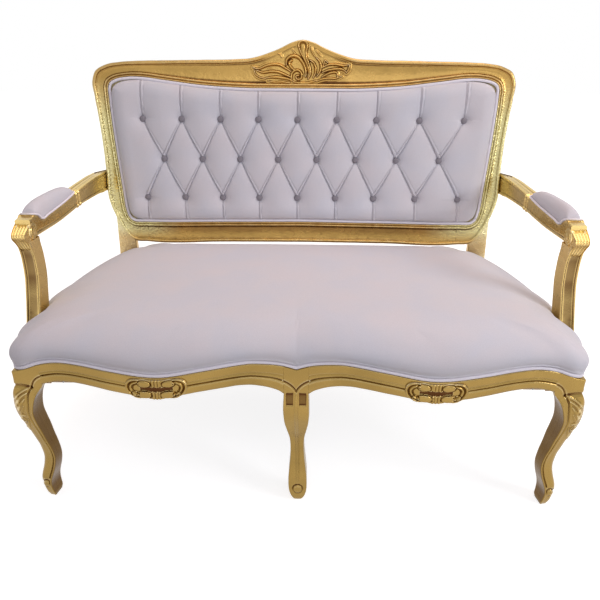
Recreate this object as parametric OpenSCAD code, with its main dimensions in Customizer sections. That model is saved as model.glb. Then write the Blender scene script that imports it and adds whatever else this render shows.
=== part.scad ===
// Two-seat settee: carved and gilt frame, cabriole front legs, buttoned back, crowned seat.
// X runs along the seat, Y from front to back, Z up. The floor is Z = 0.

/* [Overall] */
// Height of the crest above the floor
crest_top = 1060; // [1045:5:1080]
// Width of the back over its shoulders
back_w = 1200; // [1190:2:1212]
// Width over the posts of the front corner legs
front_w = 1320; // [1308:2:1336]
// Depth from the front leg line to the face of the back
seat_d = 575; // [560:5:600]
// Backward lean of the back, in degrees
rake = 9; // [7:1:11]

/* [Seat frame] */
// Height of the flat top of the seat rails
rail_top = 390; // [375:5:400]
// Depth of the carved face of the front rail, top to bottom
rail_h = 56; // [50:1:60]
// Depth of the side and rear rails
side_rail_h = 46; // [40:1:50]
// How far the scalloped lip of the front rail climbs
lip_rise = 34; // [26:1:40]
// How far the front rail bows forward at each scallop
bow = 26; // [16:1:32]
// Set of the rail face in front of the leg line
face_set = 8; // [6:1:12]
// Depth of the front rail's square back edge behind the leg line
rail_back = 20; // [14:1:28]
// Thickness of the rear rail
rear_rail_t = 34; // [28:1:36]
// Thickness of the side rails at the front
side_rail_t = 50; // [44:1:56]
// Width and depth of the cross bearer
bearer_w = 44; // [30:1:60]
bearer_h = 28; // [20:1:36]
// Length of a corner brace along each rail
brace_l = 62; // [50:1:70]
// Thickness of the corner braces
brace_h = 24; // [18:1:30]

/* [Legs] */
// Side of the square post on top of a front corner leg
post_w = 66; // [62:1:70]
// Width of the post on top of the front centre leg
centre_w = 58; // [52:1:66]
// Depth of the post on top of the front centre leg
centre_d = 60; // [52:1:68]
// Width of the back stile where it meets the seat
stile_w = 54; // [50:1:60]
// Depth of the back stile where it meets the seat
stile_d = 36; // [34:1:40]
// How far the rear foot rakes back behind the stile
foot_rake = 70; // [50:2:80]

/* [Back frame] */
// Height of the foot of the buttoned panel above the floor
panel_z = 560; // [550:5:575]
// Face width of the frame beside the panel
side_face = 45; // [42:1:48]
// Height of the panel at its shoulders, along the lean
panel_h = 407; // [400:1:412]
// Depth of the lower rail of the back
lower_rail_h = 62; // [56:1:66]
// Thickness of the back frame
frame_t = 32; // [31:1:36]
// Width of the beads on the edges of the back frame
bead_w = 8; // [6:1:9]
// Depth of the hollow between the beads
hollow_d = 6; // [3:1:8]

/* [Arms] */
// Height of the underside of the arm over its support
arm_z = 648; // [640:2:660]
// Half the width of the arm
arm_half = 21; // [18:1:24]
// Height of the padded top above the arm
pad_h = 28; // [24:1:36]
// How far the pad's lower edge wraps down the sides of the arm
pad_wrap = 18; // [12:1:22]
// Distance of the support's foot behind the leg line
support_y = 170; // [164:2:180]

/* [Upholstery] */
// Height of the crown of the seat above the floor
seat_crown = 514; // [500:2:520]
// How far the seat cover swells past the rails
overhang = 8; // [6:1:12]
// Radius of the piping round the seat
seat_pipe_r = 4.5; // [4:0.5:5]
// Radius of the piping round the back panel
back_pipe_r = 4; // [3:0.5:4.5]
// Radius of the piping round the arm pads
pad_pipe_r = 2.5; // [2:0.5:3]
// Thickness of the seat foam
foam_h = 42; // [30:1:46]
// Distance between buttons along a row
button_pitch = 116; // [110:1:118]
// Distance between rows of buttons
row_pitch = 112; // [106:1:114]
// Height of the lowest row of buttons above the panel's foot
row_base = 69; // [62:1:74]
// Radius of a covered button
button_r = 8; // [6:1:9]
// How far the tufts swell in front of the frame's face
tuft_rise = 20; // [12:1:26]
// Width of the webbing
web_w = 60; // [45:1:70]

/* [Hidden] */

gilt = "#c9a14a";
linen = "#c9c2c6";
beech = "#c8a878";

// Clearance between a soft piece and what it rests on
soft_gap = 0.3;
// Radial clearance of a dowel in its hole
dowel_gap = 0.05;
// Overrun of cutting tools
over = 1;

// Frame depths: the origin lies midway between the front of the seat and the back of the crest
crest_s = (crest_top - panel_z) / cos(rake);
front_reach = face_set + bow + overhang;
rear_reach = seat_d + crest_s * sin(rake) + frame_t * cos(rake);
leg_y = (front_reach - rear_reach) / 2;

// Two points chord and the direction of a curve through a list of points
function chord(p, q) = norm(q - p);
function slope(P, i) = let(n = len(P) - 1)
    i == 0 ? (P[1] - P[0]) / chord(P[0], P[1]) :
    i == n ? (P[n] - P[n - 1]) / chord(P[n - 1], P[n]) :
    let(a = chord(P[i - 1], P[i]), b = chord(P[i], P[i + 1]))
    ((P[i] - P[i - 1]) * b / a + (P[i + 1] - P[i]) * a / b) / (a + b);
function on_span(P, i, t) = let(d = chord(P[i], P[i + 1]), u = t * t, v = u * t)
    P[i] * (2 * v - 3 * u + 1) + slope(P, i) * d * (v - 2 * u + t)
    + P[i + 1] * (3 * u - 2 * v) + slope(P, i + 1) * d * (v - u);
// Points of a smooth curve through P, k of them to a span
function curve(P, k) = concat(
    [for (i = [0:len(P) - 2]) for (j = [0:k - 1]) on_span(P, i, j / k)], [P[len(P) - 1]]);
// Value of a smooth curve through a table of [place, value] rows
function read(T, x, i = 0) = i >= len(T) - 2 || x < T[i + 1][0]
    ? let(t = min(1, max(0, (x - T[i][0]) / (T[i + 1][0] - T[i][0]))),
        d = T[i + 1][0] - T[i][0], u = t * t, v = u * t)
      T[i][1] * (2 * v - 3 * u + 1) + rise(T, i) * d * (v - 2 * u + t)
      + T[i + 1][1] * (3 * u - 2 * v) + rise(T, i + 1) * d * (v - u)
    : read(T, x, i + 1);
function rise(T, i) = i == 0 || i == len(T) - 1 ? 0
    : (T[i + 1][1] - T[i - 1][1]) / (T[i + 1][0] - T[i - 1][0]);
function flip_x(p) = [-p[0], p[1], p[2]];
function total(v) = v * [for (a = v) 1];

// Solid through a list of rings of equal length, fanned shut at its ends or joined into a loop
function middle(ring) = [for (k = [0:2]) total([for (p = ring) p[k]]) / len(ring)];
module skin(rings, loop = false) {
    n = len(rings);
    m = len(rings[0]);
    points = concat([for (r = rings) each r], [middle(rings[0]), middle(rings[n - 1])]);
    sides = [for (i = [0:loop ? n - 1 : n - 2]) for (j = [0:m - 1])
        let(a = i * m + j, b = i * m + (j + 1) % m, c = ((i + 1) % n) * m + j,
            d = ((i + 1) % n) * m + (j + 1) % m)
        each [[a, b, d], [a, d, c]]];
    caps = loop ? [] : [for (j = [0:m - 1]) let(k = (j + 1) % m, e = (n - 1) * m)
        each [[n * m, k, j], [n * m + 1, e + j, e + k]]];
    faces = concat(sides, caps);
    volume = total([for (f = faces) points[f[0]] * cross(points[f[1]], points[f[2]])]);
    used = loop ? [for (i = [0:n * m - 1]) points[i]] : points;
    polyhedron(used, volume > 0 ? [for (f = faces) [f[2], f[1], f[0]]] : faces, convexity = 8);
}

// Tube of radius r and the given sides along a path, with its rings turned about the vertical
function tube_rings(path, r, sides, loop) = let(n = len(path))
    [for (i = [0:n - 1])
        let(a = loop ? path[(i + n - 1) % n] : path[max(0, i - 1)],
            b = loop ? path[(i + 1) % n] : path[min(n - 1, i + 1)],
            t = (b - a) / norm(b - a),
            u = cross(t, abs(t[2]) > 0.9 ? [1, 0, 0] : [0, 0, 1]),
            e = u / norm(u),
            f = cross(e, t))
        [for (k = [0:sides - 1]) path[i] + r * (e * sin(360 * k / sides) - f * cos(360 * k / sides))]];
module tube(path, r, sides, loop = false) skin(tube_rings(path, r, sides, loop), loop);

// Right-hand pieces are drawn as they are and left-hand ones are mirrored
module handed(side) mirror([side == "left" ? 1 : 0, 0, 0]) children();

// Back frame
// Stations round the right half of the back, from the middle of the lower rail to the crest:
// inner edge across and up as shares of the panel, outer edge across as a share of the back
// and up as a share of the crest, or of the lower rail where it is below zero
rim_shares = [
    [0, 0, 0, -1], [0.43, 0, 0.4, -1], [0.847, 0, 0.783, -1],
    [0.915, 0.002, 0.858, -0.92], [0.944, 0.03, 0.908, -0.42], [0.958, 0.088, 0.943, 0.028],
    [0.967, 0.2, 0.9733, 0.14], [0.973, 0.3, 0.9733, 0.22], [0.979, 0.4, 0.9733, 0.31],
    [0.989, 0.58, 0.977, 0.45], [0.996, 0.73, 0.987, 0.6], [1, 0.86, 0.997, 0.71],
    [1, 0.93, 1, 0.782], [0.989, 0.963, 0.982, 0.834], [0.958, 0.986, 0.937, 0.865],
    [0.9, 1, 0.872, 0.881], [0.828, 1, 0.783, 0.888], [0.72, 0.982, 0.667, 0.891],
    [0.51, 0.948, 0.472, 0.895], [0.36, 0.935, 0.333, 0.898], [0.252, 0.93, 0.233, 0.907],
    [0.198, 0.93, 0.187, 0.922], [0.11, 0.93, 0.103, 0.958], [0.054, 0.93, 0.05, 0.987],
    [0, 0.93, 0, 1]];
half_back = back_w / 2;
half_panel = half_back - side_face;
rim_half = [for (r = rim_shares)
    [r[0] * half_panel, r[1] * panel_h, r[2] * half_back, r[3] * (r[3] < 0 ? lower_rail_h : crest_s)]];
rim_last = len(rim_half) - 1;
function rim_mirror(r) = [-r[0], r[1], -r[2], r[3]];
// The whole rim as a list that starts and ends in the middle of the lower rail
rim_all = concat(rim_half, [for (i = [rim_last - 1:-1:0]) rim_mirror(rim_half[i])]);
rim_steps = 2;
rim = curve(rim_all, rim_steps);
lower_joint = 2 * rim_steps;
crest_joint = 11 * rim_steps;
rim_end = len(rim) - 1;

// Point of the leaning back: across, up the lean, and behind its face
function on_back(x, s, n) = [x, leg_y + seat_d + s * sin(rake) + n * cos(rake),
    panel_z + s * cos(rake) - n * sin(rake)];
// Frame section from either edge as [distance, depth] rows in shares of the bead's width
bead_shares = [[0, 0.62], [0.25, 0.12], [0.6, 0], [1, 0.15], [1.18, 0.38]];
outer_bead_shares = [[0, 0.62], [0.25, 0.05], [0.6, -0.12], [1, 0.06], [1.25, 0.38]];
hollow_share = 1.65;
function rows(T, size) = [for (t = T) t * size];
inner_profile = concat(rows(bead_shares, bead_w), [[bead_w * hollow_share, hollow_d]]);
outer_edge = concat(rows(outer_bead_shares, bead_w), [[bead_w * hollow_share, hollow_d]]);
outer_profile = [for (i = [len(outer_edge) - 1:-1:0]) outer_edge[i]];
function across(r, d, n) = let(p = [r[0], r[1]], q = [r[2], r[3]], c = p + (q - p) * d / norm(q - p))
    on_back(c[0], c[1], n);
back_round = 0.72 * frame_t;
function rim_ring(r) = let(w = norm([r[2] - r[0], r[3] - r[1]])) concat(
    [for (e = inner_profile) across(r, e[0], e[1])],
    [for (e = outer_profile) across(r, w - e[0], e[1])],
    [across(r, w, back_round), across(r, w - frame_t + back_round, frame_t), across(r, 0, frame_t)]);
module rim_piece(from, to) skin([for (i = [from:to]) rim_ring(rim[i])]);

// Dowels
dowel_r = 4;
dowel_l = 36;
dowel_end = 0.5;
// Dowel, or its hole where grow is the clearance, centred on the origin along X
module dowel(grow = 0) rotate([0, 90, 0])
    cylinder(r = dowel_r + grow, h = dowel_l + (grow > 0 ? 2 * dowel_end : 0), center = true, $fn = 24);

// The lean as a placement for pieces drawn flat, with their depth behind the face as minus Z
module leaning() translate([0, leg_y + seat_d, panel_z]) rotate([90 - rake, 0, 0]) children();
module slab(points, near, far) leaning() translate([0, 0, -far]) linear_extrude(far - near) polygon(points);
// Outline of the panel's opening, drawn in by a clearance
function opening(inset) = [for (i = [0:rim_end - 1]) let(r = rim[i], p = [r[0], r[1]], q = [r[2], r[3]])
    p + (p - q) * inset / norm(p - q)];

dowel_n = 0.55 * frame_t;
lower_dowel_shares = [0.3, 0.7];
module lower_rail_dowels(grow = 0) {
    r = rim[lower_joint];
    for (side = [-1, 1])
        for (share = lower_dowel_shares)
            leaning() translate([side * r[0], r[3] * share, -dowel_n]) dowel(grow);
}
crest_dowel_share = 0.5;
module crest_dowels(grow = 0) {
    r = rim[crest_joint];
    p = [r[0], r[1]];
    q = [r[2], r[3]];
    mid = p + (q - p) * crest_dowel_share;
    turn = atan2(q[1] - p[1], q[0] - p[0]);
    for (side = [0, 1])
        leaning() mirror([side, 0, 0]) translate([mid[0], mid[1], -dowel_n]) rotate([0, 0, turn + 90])
            dowel(grow);
}

module crest_rail() color(gilt) difference() {
    rim_piece(crest_joint, rim_end - crest_joint);
    crest_dowels(dowel_gap);
}
module lower_back_rail() color(gilt) difference() {
    skin([for (i = [-lower_joint:lower_joint]) rim_ring(rim[(i + rim_end) % rim_end])]);
    lower_rail_dowels(dowel_gap);
}

// Back stiles, each in one piece with its rear leg
stile_out = half_back * 0.9417;
stile_in = stile_out - stile_w;
// Set of the stile's face in front of the back's face line
stile_set = 13;
stile_front = seat_d - stile_set;
underside = rail_top - side_rail_h;
block_over = 28;
// Rings of the plain part from the floor up: height as a share of the seat rail's underside,
// taper of each side as a share of the stile, and rake as a share of the foot's rake
leg_back_shares = [[0, 0.3, 0.08, 1], [0.06, 0.27, 0.05, 0.9], [0.35, 0.2, 0.04, 0.45],
    [0.7, 0.07, 0.02, 0.1], [1, 0, 0, 0]];
// Rings above the seat: distance up the lean, inner and outer edge as shares of the stile
stump_shares = [[-1.26, 0, 0], [-0.7, 0.02, 0.01], [-0.11, 0.1, 0.02], [0.22, 0.42, 0.04]];
stump_n = 1.5 * hollow_d;
function stile_ring(z, x0, x1, y0, y1) = [[x0, leg_y + y0, z], [x1, leg_y + y0, z],
    [x1, leg_y + y1, z], [x0, leg_y + y1, z]];
module stile_leg() {
    lower = [for (r = leg_back_shares) stile_ring(r[0] * underside, stile_in + r[1] * stile_w,
        stile_out - r[2] * stile_w, stile_front + r[3] * foot_rake,
        stile_front + stile_d + r[3] * foot_rake)];
    block = [stile_ring(rail_top + block_over, stile_in, stile_out, stile_front, stile_front + stile_d)];
    upper = [for (r = stump_shares) let(s = r[0] * lower_rail_h, x0 = stile_in + r[1] * stile_w,
        x1 = stile_out + r[2] * stile_w)
        [on_back(x0, s, stump_n), on_back(x1, s, stump_n),
            on_back(x1, s, frame_t), on_back(x0, s, frame_t)]];
    skin(concat(lower, block, upper));
}
module back_stile(side) color(gilt) handed(side) difference() {
    union() {
        rim_piece(lower_joint, crest_joint);
        stile_leg();
        arm_seat();
    }
    crest_dowels(dowel_gap);
    lower_rail_dowels(dowel_gap);
    rear_rail_dowels(dowel_gap);
    side_rear_dowels(dowel_gap);
    arm_back_dowels(dowel_gap);
}

// Seat frame
half_front = front_w / 2;
post_in = half_front - post_w;
// Height of the front rail's lip as shares of the lip's rise, at shares of half the front
lip_shares = [[0, 0.5], [0.08, 0.86], [0.171, 1], [0.325, 0.6], [0.479, 0.17], [0.65, 0.44],
    [0.829, 0.74], [0.9, 0.52], [0.96, 0.16], [1, 0.03]];
function lip_z(x) = rail_top + lip_rise * read(lip_shares, abs(x) / half_front);
function face_y(x) = let(s = sin(180 * min(1, abs(x) / (post_in + post_w / 2)))) -(face_set + bow * s * s);
lip_w = 10;
groove_share = 0.58;
groove_w = 3;
arris = 3;
front_steps = 22;
function front_ring(x) = let(f = face_y(x), t = lip_z(x), b = t - rail_h, g = t - rail_h * groove_share)
    [for (p = [[f + lip_w, rail_top], [f + lip_w, t], [f + arris, t], [f, t - arris], [f, g],
        [f + groove_w, g - groove_w / 2], [f, g - groove_w], [f, b + arris], [f + arris, b],
        [rail_back, underside], [rail_back, rail_top]]) [x, leg_y + p[0], p[1]]];
module front_rail(side) color(gilt) handed(side) difference() {
    skin([for (i = [0:front_steps]) front_ring(centre_w / 2
        + (post_in - centre_w / 2) * i / front_steps)]);
    front_rail_dowels(dowel_gap);
    screw_bores();
}

// Outer face of the side rail, from the corner post to the stile: distance back as a share of the
// rail's length, spread as a share of the taper between the post and the stile
side_shares = [[0, 1], [0.1, 1.1], [0.21, 1.14], [0.48, 0.88], [0.78, 0.45], [1, 0]];
side_from = post_w - face_set;
side_to = stile_front;
side_steps = 14;
function side_x(y) = stile_out + (half_front - stile_out)
    * read(side_shares, (y - side_from) / (side_to - side_from));
function side_in(y) = let(t = (y - side_from) / (side_to - side_from))
    (half_front - side_rail_t) * (1 - t) + (stile_out - stile_d) * t;
function side_ring(y) = let(x = side_x(y), g = rail_top - rail_h * groove_share)
    [for (p = [[x - arris, rail_top], [x, rail_top - arris], [x, g], [x - groove_w, g - groove_w / 2],
        [x, g - groove_w], [x, underside + arris], [x - arris, underside],
        [side_in(y), underside], [side_in(y), rail_top]]) [p[0], leg_y + y, p[1]]];
module side_rail(side) color(gilt) handed(side) difference() {
    skin([for (i = [0:side_steps]) side_ring(side_from + (side_to - side_from) * i / side_steps)]);
    side_front_dowels(dowel_gap);
    side_rear_dowels(dowel_gap);
    screw_bores();
    support_screw_hole();
}

module rear_seat_rail() color(gilt) difference() {
    translate([-stile_in, leg_y + stile_front + stile_d - rear_rail_t, underside])
        cube([2 * stile_in, rear_rail_t, side_rail_h]);
    for (side = ["left", "right"]) handed(side) {
        rear_rail_dowels(dowel_gap);
        screw_bores();
    }
}

seat_dowel_shares = [0.28, 0.72];
rail_mid = face_set / 2;
module front_rail_dowels(grow = 0)
    for (x = [centre_w / 2, post_in])
        for (share = seat_dowel_shares)
            translate([x, leg_y + rail_mid, underside + side_rail_h * share]) dowel(grow);
side_front_x = half_front - side_rail_t / 2;
module side_front_dowels(grow = 0)
    for (share = seat_dowel_shares)
        translate([side_front_x, leg_y + side_from, underside + side_rail_h * share]) rotate([0, 0, 90])
            dowel(grow);
side_rear_x = stile_out - stile_d / 2;
module side_rear_dowels(grow = 0)
    for (share = seat_dowel_shares)
        translate([side_rear_x, leg_y + side_to, underside + side_rail_h * share]) rotate([0, 0, 90])
            dowel(grow);
module rear_rail_dowels(grow = 0)
    for (share = seat_dowel_shares)
        translate([stile_in, leg_y + stile_front + stile_d - rear_rail_t / 2,
            underside + side_rail_h * share]) dowel(grow);

// Front legs
// Rings of a corner leg from the floor up: height as a share of the rail's top, then how far its
// outer corner stands out past that of the post, its width and its depth as shares of the post
corner_leg_shares = [[0, -0.2, 0.4, 0.48], [0.02, -0.16, 0.47, 0.58], [0.05, -0.13, 0.52, 0.64],
    [0.1, -0.105, 0.55, 0.69], [0.155, -0.11, 0.56, 0.68], [0.23, -0.21, 0.54, 0.58],
    [0.31, -0.29, 0.5, 0.51], [0.385, -0.275, 0.48, 0.52], [0.46, -0.21, 0.47, 0.58],
    [0.54, -0.13, 0.5, 0.64], [0.615, -0.04, 0.545, 0.68], [0.69, 0.045, 0.62, 0.7],
    [0.77, 0.09, 0.73, 0.73], [0.83, 0.06, 0.8, 0.78], [0.865, 0.02, 0.92, 0.92], [0.88, 0, 1, 1],
    [0.92, 0, 1, 1]];
corner_cut_share = 0.28;
other_cut_share = 0.1;
function leg_ring(x0, x1, y0, y1, z, cut, other) = let(w = x1 - x0, d = y1 - y0)
    [for (p = [[x0 + other * w, y0], [x1 - cut * w, y0], [x1, y0 + cut * d], [x1, y1 - other * d],
        [x1 - other * w, y1], [x0 + other * w, y1], [x0, y1 - other * d], [x0, y0 + other * d]])
        [p[0], leg_y + p[1], z]];
function corner_leg_ring(r) = let(x = half_front + r[1] * post_w, y = -face_set - r[1] * post_w)
    leg_ring(x - r[2] * post_w, x, y, y + r[3] * post_w, r[0] * rail_top,
        r[0] > 0.87 ? other_cut_share : corner_cut_share, other_cut_share);
// The top steps in to the lip behind which the seat is stuffed
lip_in = 0.25 * arris;
module corner_leg_body() {
    strip = leg_ring(post_in + lip_in, half_front - lip_in, lip_in - face_set, lip_w - face_set,
        rail_top, other_cut_share, other_cut_share);
    full = leg_ring(post_in, half_front, -face_set, post_w - face_set, rail_top, other_cut_share,
        other_cut_share);
    skin(concat([for (r = corner_leg_shares) corner_leg_ring(r)],
        [full, strip, [for (p = strip) [p[0], p[1], lip_z(p[0])]]]));
}
module corner_leg(side) color(gilt) handed(side) difference() {
    corner_leg_body();
    front_rail_dowels(dowel_gap);
    side_front_dowels(dowel_gap);
}
// Rings of the centre leg: height, width as a share of its post, and set of the front face behind
// the post's face as a share of the post's depth
centre_leg_shares = [[0, 0.3, 0.2], [0.015, 0.46, 0.14], [0.05, 0.68, 0.1], [0.11, 0.79, 0.09],
    [0.185, 0.8, 0.13], [0.25, 0.72, 0.24], [0.34, 0.61, 0.36], [0.43, 0.58, 0.4],
    [0.5, 0.64, 0.34], [0.57, 0.8, 0.18], [0.64, 0.96, 0.02], [0.7, 1.05, -0.1], [0.76, 1.08, -0.15],
    [0.82, 1.05, -0.1], [0.87, 1, -0.02], [0.91, 1, 0]];
ridge_share = 0.07;
leg_slim_share = 0.86;
function centre_leg_ring(r) = let(w = r[1] * centre_w / 2, y0 = -face_set + r[2] * centre_d,
    y1 = r[0] > 0.85 ? centre_d - face_set : y0 + centre_d * leg_slim_share,
    ridge = r[0] > 0.9 || r[0] < 0.02 ? 0 : ridge_share * centre_w, c = other_cut_share * w)
    [for (p = [[-w + c, y0], [0, y0 - ridge], [w - c, y0], [w, y0 + c], [w, y1 - c], [w - c, y1],
        [-w + c, y1], [-w, y1 - c], [-w, y0 + c]]) [p[0], leg_y + p[1], r[0] * rail_top]];
module centre_front_leg() color(gilt) difference() {
    full = centre_leg_ring([1, 1, 0]);
    half = centre_w / 2 - lip_in;
    strip = [for (p = [[-0.8, 0], [0, -ridge_share], [0.8, 0], [1, 0.2], [1, 0.9], [0.9, 1], [-0.9, 1], [-1, 0.9],
        [-1, 0.2]]) [p[0] * half, leg_y + lip_in - face_set + p[1] * (lip_w - lip_in), rail_top]];
    skin(concat([for (r = centre_leg_shares) centre_leg_ring(r)],
        [full, strip, [for (p = strip) [p[0], p[1], lip_z(p[0])]]]));
    front_rail_dowels(dowel_gap);
    mirror([1, 0, 0]) front_rail_dowels(dowel_gap);
}

// Cross bearer and corner braces
rear_inner = stile_front + stile_d - rear_rail_t;
module cross_bearer() color(beech)
    translate([-bearer_w / 2, leg_y + centre_d - face_set, underside])
        cube([bearer_w, rear_inner - centre_d + face_set, bearer_h]);
brace_flat = 14;
screw_r = 2;
screw_l = 34;
screw_head_r = 4;
screw_head_h = 3;
counter_r = 5;
brace_y = side_from + brace_l;
brace_rear_y = side_to - brace_l;
front_brace = [[post_in - brace_l, rail_back], [post_in, rail_back], [post_in, side_from],
    [side_in(side_from), side_from], [side_in(brace_y), brace_y],
    [side_in(brace_y) - brace_flat, brace_y], [post_in - brace_l, rail_back + brace_flat]];
rear_brace = [[stile_in - brace_l, rear_inner], [stile_in, rear_inner], [stile_in, side_to],
    [side_in(side_to), side_to], [side_in(brace_rear_y), brace_rear_y],
    [side_in(brace_rear_y) - brace_flat, brace_rear_y],
    [stile_in - brace_l, rear_inner - brace_flat]];
// Screws of one corner as [place of the head, heading about Z]
half_screw = screw_l / 2;
screw_x_share = 0.75;
screw_y_share = 0.7;
front_x = post_in - brace_l * screw_x_share;
front_y = side_from + brace_l * screw_y_share;
rear_x = stile_in - brace_l * screw_x_share;
rear_y = side_to - brace_l * screw_y_share;
screw_places = [[[front_x, rail_back + half_screw], -90], [[side_in(front_y) - half_screw, front_y], 0],
    [[rear_x, rear_inner - half_screw], 90], [[side_in(rear_y) - half_screw, rear_y], 0]];
module at_screws() for (p = screw_places)
    translate([p[0][0], leg_y + p[0][1], underside + brace_h / 2]) rotate([0, 0, p[1]]) children();
module screw(length) {
    cylinder(r = screw_r, h = length, $fn = 24);
    translate([0, 0, -screw_head_h]) cylinder(r = screw_head_r, h = screw_head_h, $fn = 24);
}
// Hole for a screw with a wider bore back from its head
module screw_cut(length, back) {
    cylinder(r = screw_r + dowel_gap, h = length + over, $fn = 24);
    translate([0, 0, -back]) cylinder(r = counter_r, h = back, $fn = 24);
}
module brace_cuts() at_screws() rotate([0, 90, 0]) screw_cut(screw_l, brace_l);
module screw_bores() at_screws() rotate([0, 90, 0])
    cylinder(r = screw_r + dowel_gap, h = screw_l + over, $fn = 24);
module brace(points) difference() {
    translate([0, leg_y, underside]) linear_extrude(brace_h) polygon(points);
    brace_cuts();
}
module corner_braces() color(beech) for (side = ["left", "right"]) handed(side) {
    brace(front_brace);
    brace(rear_brace);
}
module brace_screws() color("silver") for (side = ["left", "right"]) handed(side)
    at_screws() rotate([0, 90, 0]) screw(screw_l);
module seat_frame_dowels() color(beech) for (side = ["left", "right"]) handed(side) {
    front_rail_dowels();
    side_front_dowels();
    side_rear_dowels();
    rear_rail_dowels();
}
module back_frame_dowels() color(beech) {
    lower_rail_dowels();
    crest_dowels();
}

// Arms
// Arm rows from the knuckle to the stile: share of the way back, share of the way in to the
// stile's side, half width, underside and top as shares of the arm's height
arm_rows = [[-0.1, 0, 0.72, 0.45, 0.7], [-0.085, 0, 0.8, 0.25, 0.85], [-0.05, 0, 0.84, 0.02, 0.97],
    [0, 0, 0.88, 0, 1], [0.05, 0, 0.92, 0, 1], [0.17, 0.06, 0.96, -0.04, 0.96], [0.29, 0.14, 0.98, -0.06, 0.92],
    [0.43, 0.3, 0.98, 0.04, 0.92], [0.5, 0.4, 0.96, 0.12, 0.93], [0.57, 0.48, 0.96, 0.15, 1],
    [0.7, 0.61, 0.9, 0.12, 1.08], [0.83, 0.69, 0.86, 0.04, 1.1], [0.93, 0.74, 0.82, -0.08, 1.06]];
arm_h = 50;
support_rise = arm_z - rail_top;
support_top_share = 0.11;
support_in_share = -0.19;
// Set of the support's foot inside the side rail's outer face, and its row, as shares of the post
foot_set_share = 0.131;
foot_row_share = 0.06;
foot_x = side_x(support_y) - foot_set_share * post_w;
function support_x(share) = foot_x + (share - foot_row_share) * post_w;
knuckle_x = support_x(support_in_share);
knuckle_y = support_y + support_top_share * post_w;
// Flat seat on the stile's outer side, where the arm is dowelled on
seat_s = (arm_z + arm_h * 0.5 - panel_z) / cos(rake);
seat_half = 0.62 * arm_h;
seat_x = half_back * 0.979;
seat_n = [0.18 * frame_t, 0.88 * frame_t];
arm_end_y = seat_d + seat_s * sin(rake) + total(seat_n) / 2 * cos(rake);
arm_cut_share = 0.3;
function arm_col(k) = [for (r = arm_rows) [r[0], r[k]]];
function arm_y(a) = knuckle_y + a * (arm_end_y - knuckle_y);
function arm_x(a) = knuckle_x + (seat_x - knuckle_x) * read(arm_col(1), a);
function arm_line(a) = arm_z + arm_h * read(arm_col(4), a);
// The arm is cut down under the pad, which wraps over its sides: place, share of the wrap
wrap_shares = [[0.065, 0], [0.117, 1], [0.185, 0.88], [0.28, 0.7], [0.375, 0.48], [0.443, 0.25], [0.478, 0.08],
    [0.495, 0]];
function arm_top(a) = arm_line(a) - pad_wrap * read(wrap_shares, a);
function arm_places() = concat([for (r = arm_rows) if (r[0] < pad_from_share) r[0]],
    [for (r = pad_rows) pad_a(r[0])], [for (r = arm_rows) if (r[0] > pad_to_share) r[0]]);
// Eight-sided section: centre, direction across, half width, bottom and top
function arm_ring(c, e, w, z0, z1) = let(k = arm_cut_share * w)
    [for (p = [[-w, z0 + k], [-w + k, z0], [w - k, z0], [w, z0 + k], [w, z1 - k], [w - k, z1],
        [-w + k, z1], [-w, z1 - k]]) [c[0] + e[0] * p[0], leg_y + c[1] + e[1] * p[0], p[1]]];
arm_last = arm_rows[len(arm_rows) - 1];
module arm_seat() leaning() translate([half_back - side_face / 2, seat_s - seat_half, -seat_n[1]])
    cube([seat_x - half_back + side_face / 2, 2 * seat_half, seat_n[1] - seat_n[0]]);
module arm_body() {
    half_n = (seat_n[1] - seat_n[0]) / 2 * cos(rake);
    skin(concat([for (a = arm_places()) arm_ring([arm_x(a), arm_y(a)], [1, 0],
            arm_half * read(arm_col(2), a), arm_z + arm_h * read(arm_col(3), a), arm_top(a))],
        [arm_ring([seat_x, arm_end_y], [0, 1], half_n, arm_z + arm_last[3] * arm_h,
            arm_z + arm_last[4] * arm_h)]));
}
module arm_back_dowels(grow = 0) translate([seat_x, leg_y + arm_end_y, arm_z + arm_h * 0.5]) dowel(grow);
module arm_top_dowels(grow = 0) translate([knuckle_x, leg_y + knuckle_y, arm_z]) rotate([0, 90, 0])
    dowel(grow);
module arm(side) color(gilt) handed(side) difference() {
    arm_body();
    arm_back_dowels(dowel_gap);
    arm_top_dowels(dowel_gap);
}
module arm_dowels() color(beech) for (side = ["left", "right"]) handed(side) {
    arm_back_dowels();
    arm_top_dowels();
}

// Arm supports
// Rings from the foot up: height as a share of the rise, place across and back from the foot as
// shares of the post, half width and half depth as shares of the arm's half width
support_rows = [[0, foot_row_share, 0, 1.05, 1.33], [0.06, foot_row_share, 0, 1.05, 1.2],
    [0.2, 0.02, 0.09, 0.98, 1],
    [0.42, -0.05, 0.23, 0.95, 0.92], [0.62, -0.11, 0.33, 0.95, 0.88], [0.82, -0.15, 0.29, 0.94, 0.86],
    [0.94, -0.17, 0.18, 0.9, 0.93], [1, support_in_share, support_top_share, 0.9, 1]];
support_steps = 2;
foot_w = support_rows[0][3] * arm_half;
foot_d = support_rows[0][4] * arm_half;
support_cut_share = 0.24;
function support_ring(r) = let(x = support_x(r[1]), y = support_y + r[2] * post_w,
    w = r[3] * arm_half, d = r[4] * arm_half, k = support_cut_share * arm_half)
    [for (p = [[-w + k, -d], [0, -d + k / 2], [w - k, -d], [w, -d + k], [w, d - k], [w - k, d],
        [-w + k, d], [-w, d - k], [-w, -d + k]]) [x + p[0], leg_y + y + p[1], rail_top + r[0] * support_rise]];
module arm_support(side) color(gilt) handed(side) difference() {
    skin([for (r = curve(support_rows, support_steps)) support_ring(r)]);
    arm_top_dowels(dowel_gap);
    support_screw_hole();
}
support_bore = 0.35 * side_rail_h;
support_screw_l = 1.6 * side_rail_h;
module at_support_screw() translate([foot_x, leg_y + support_y, underside + support_bore]) children();
module support_screw_hole() at_support_screw() screw_cut(support_screw_l, support_bore + over);
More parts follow.
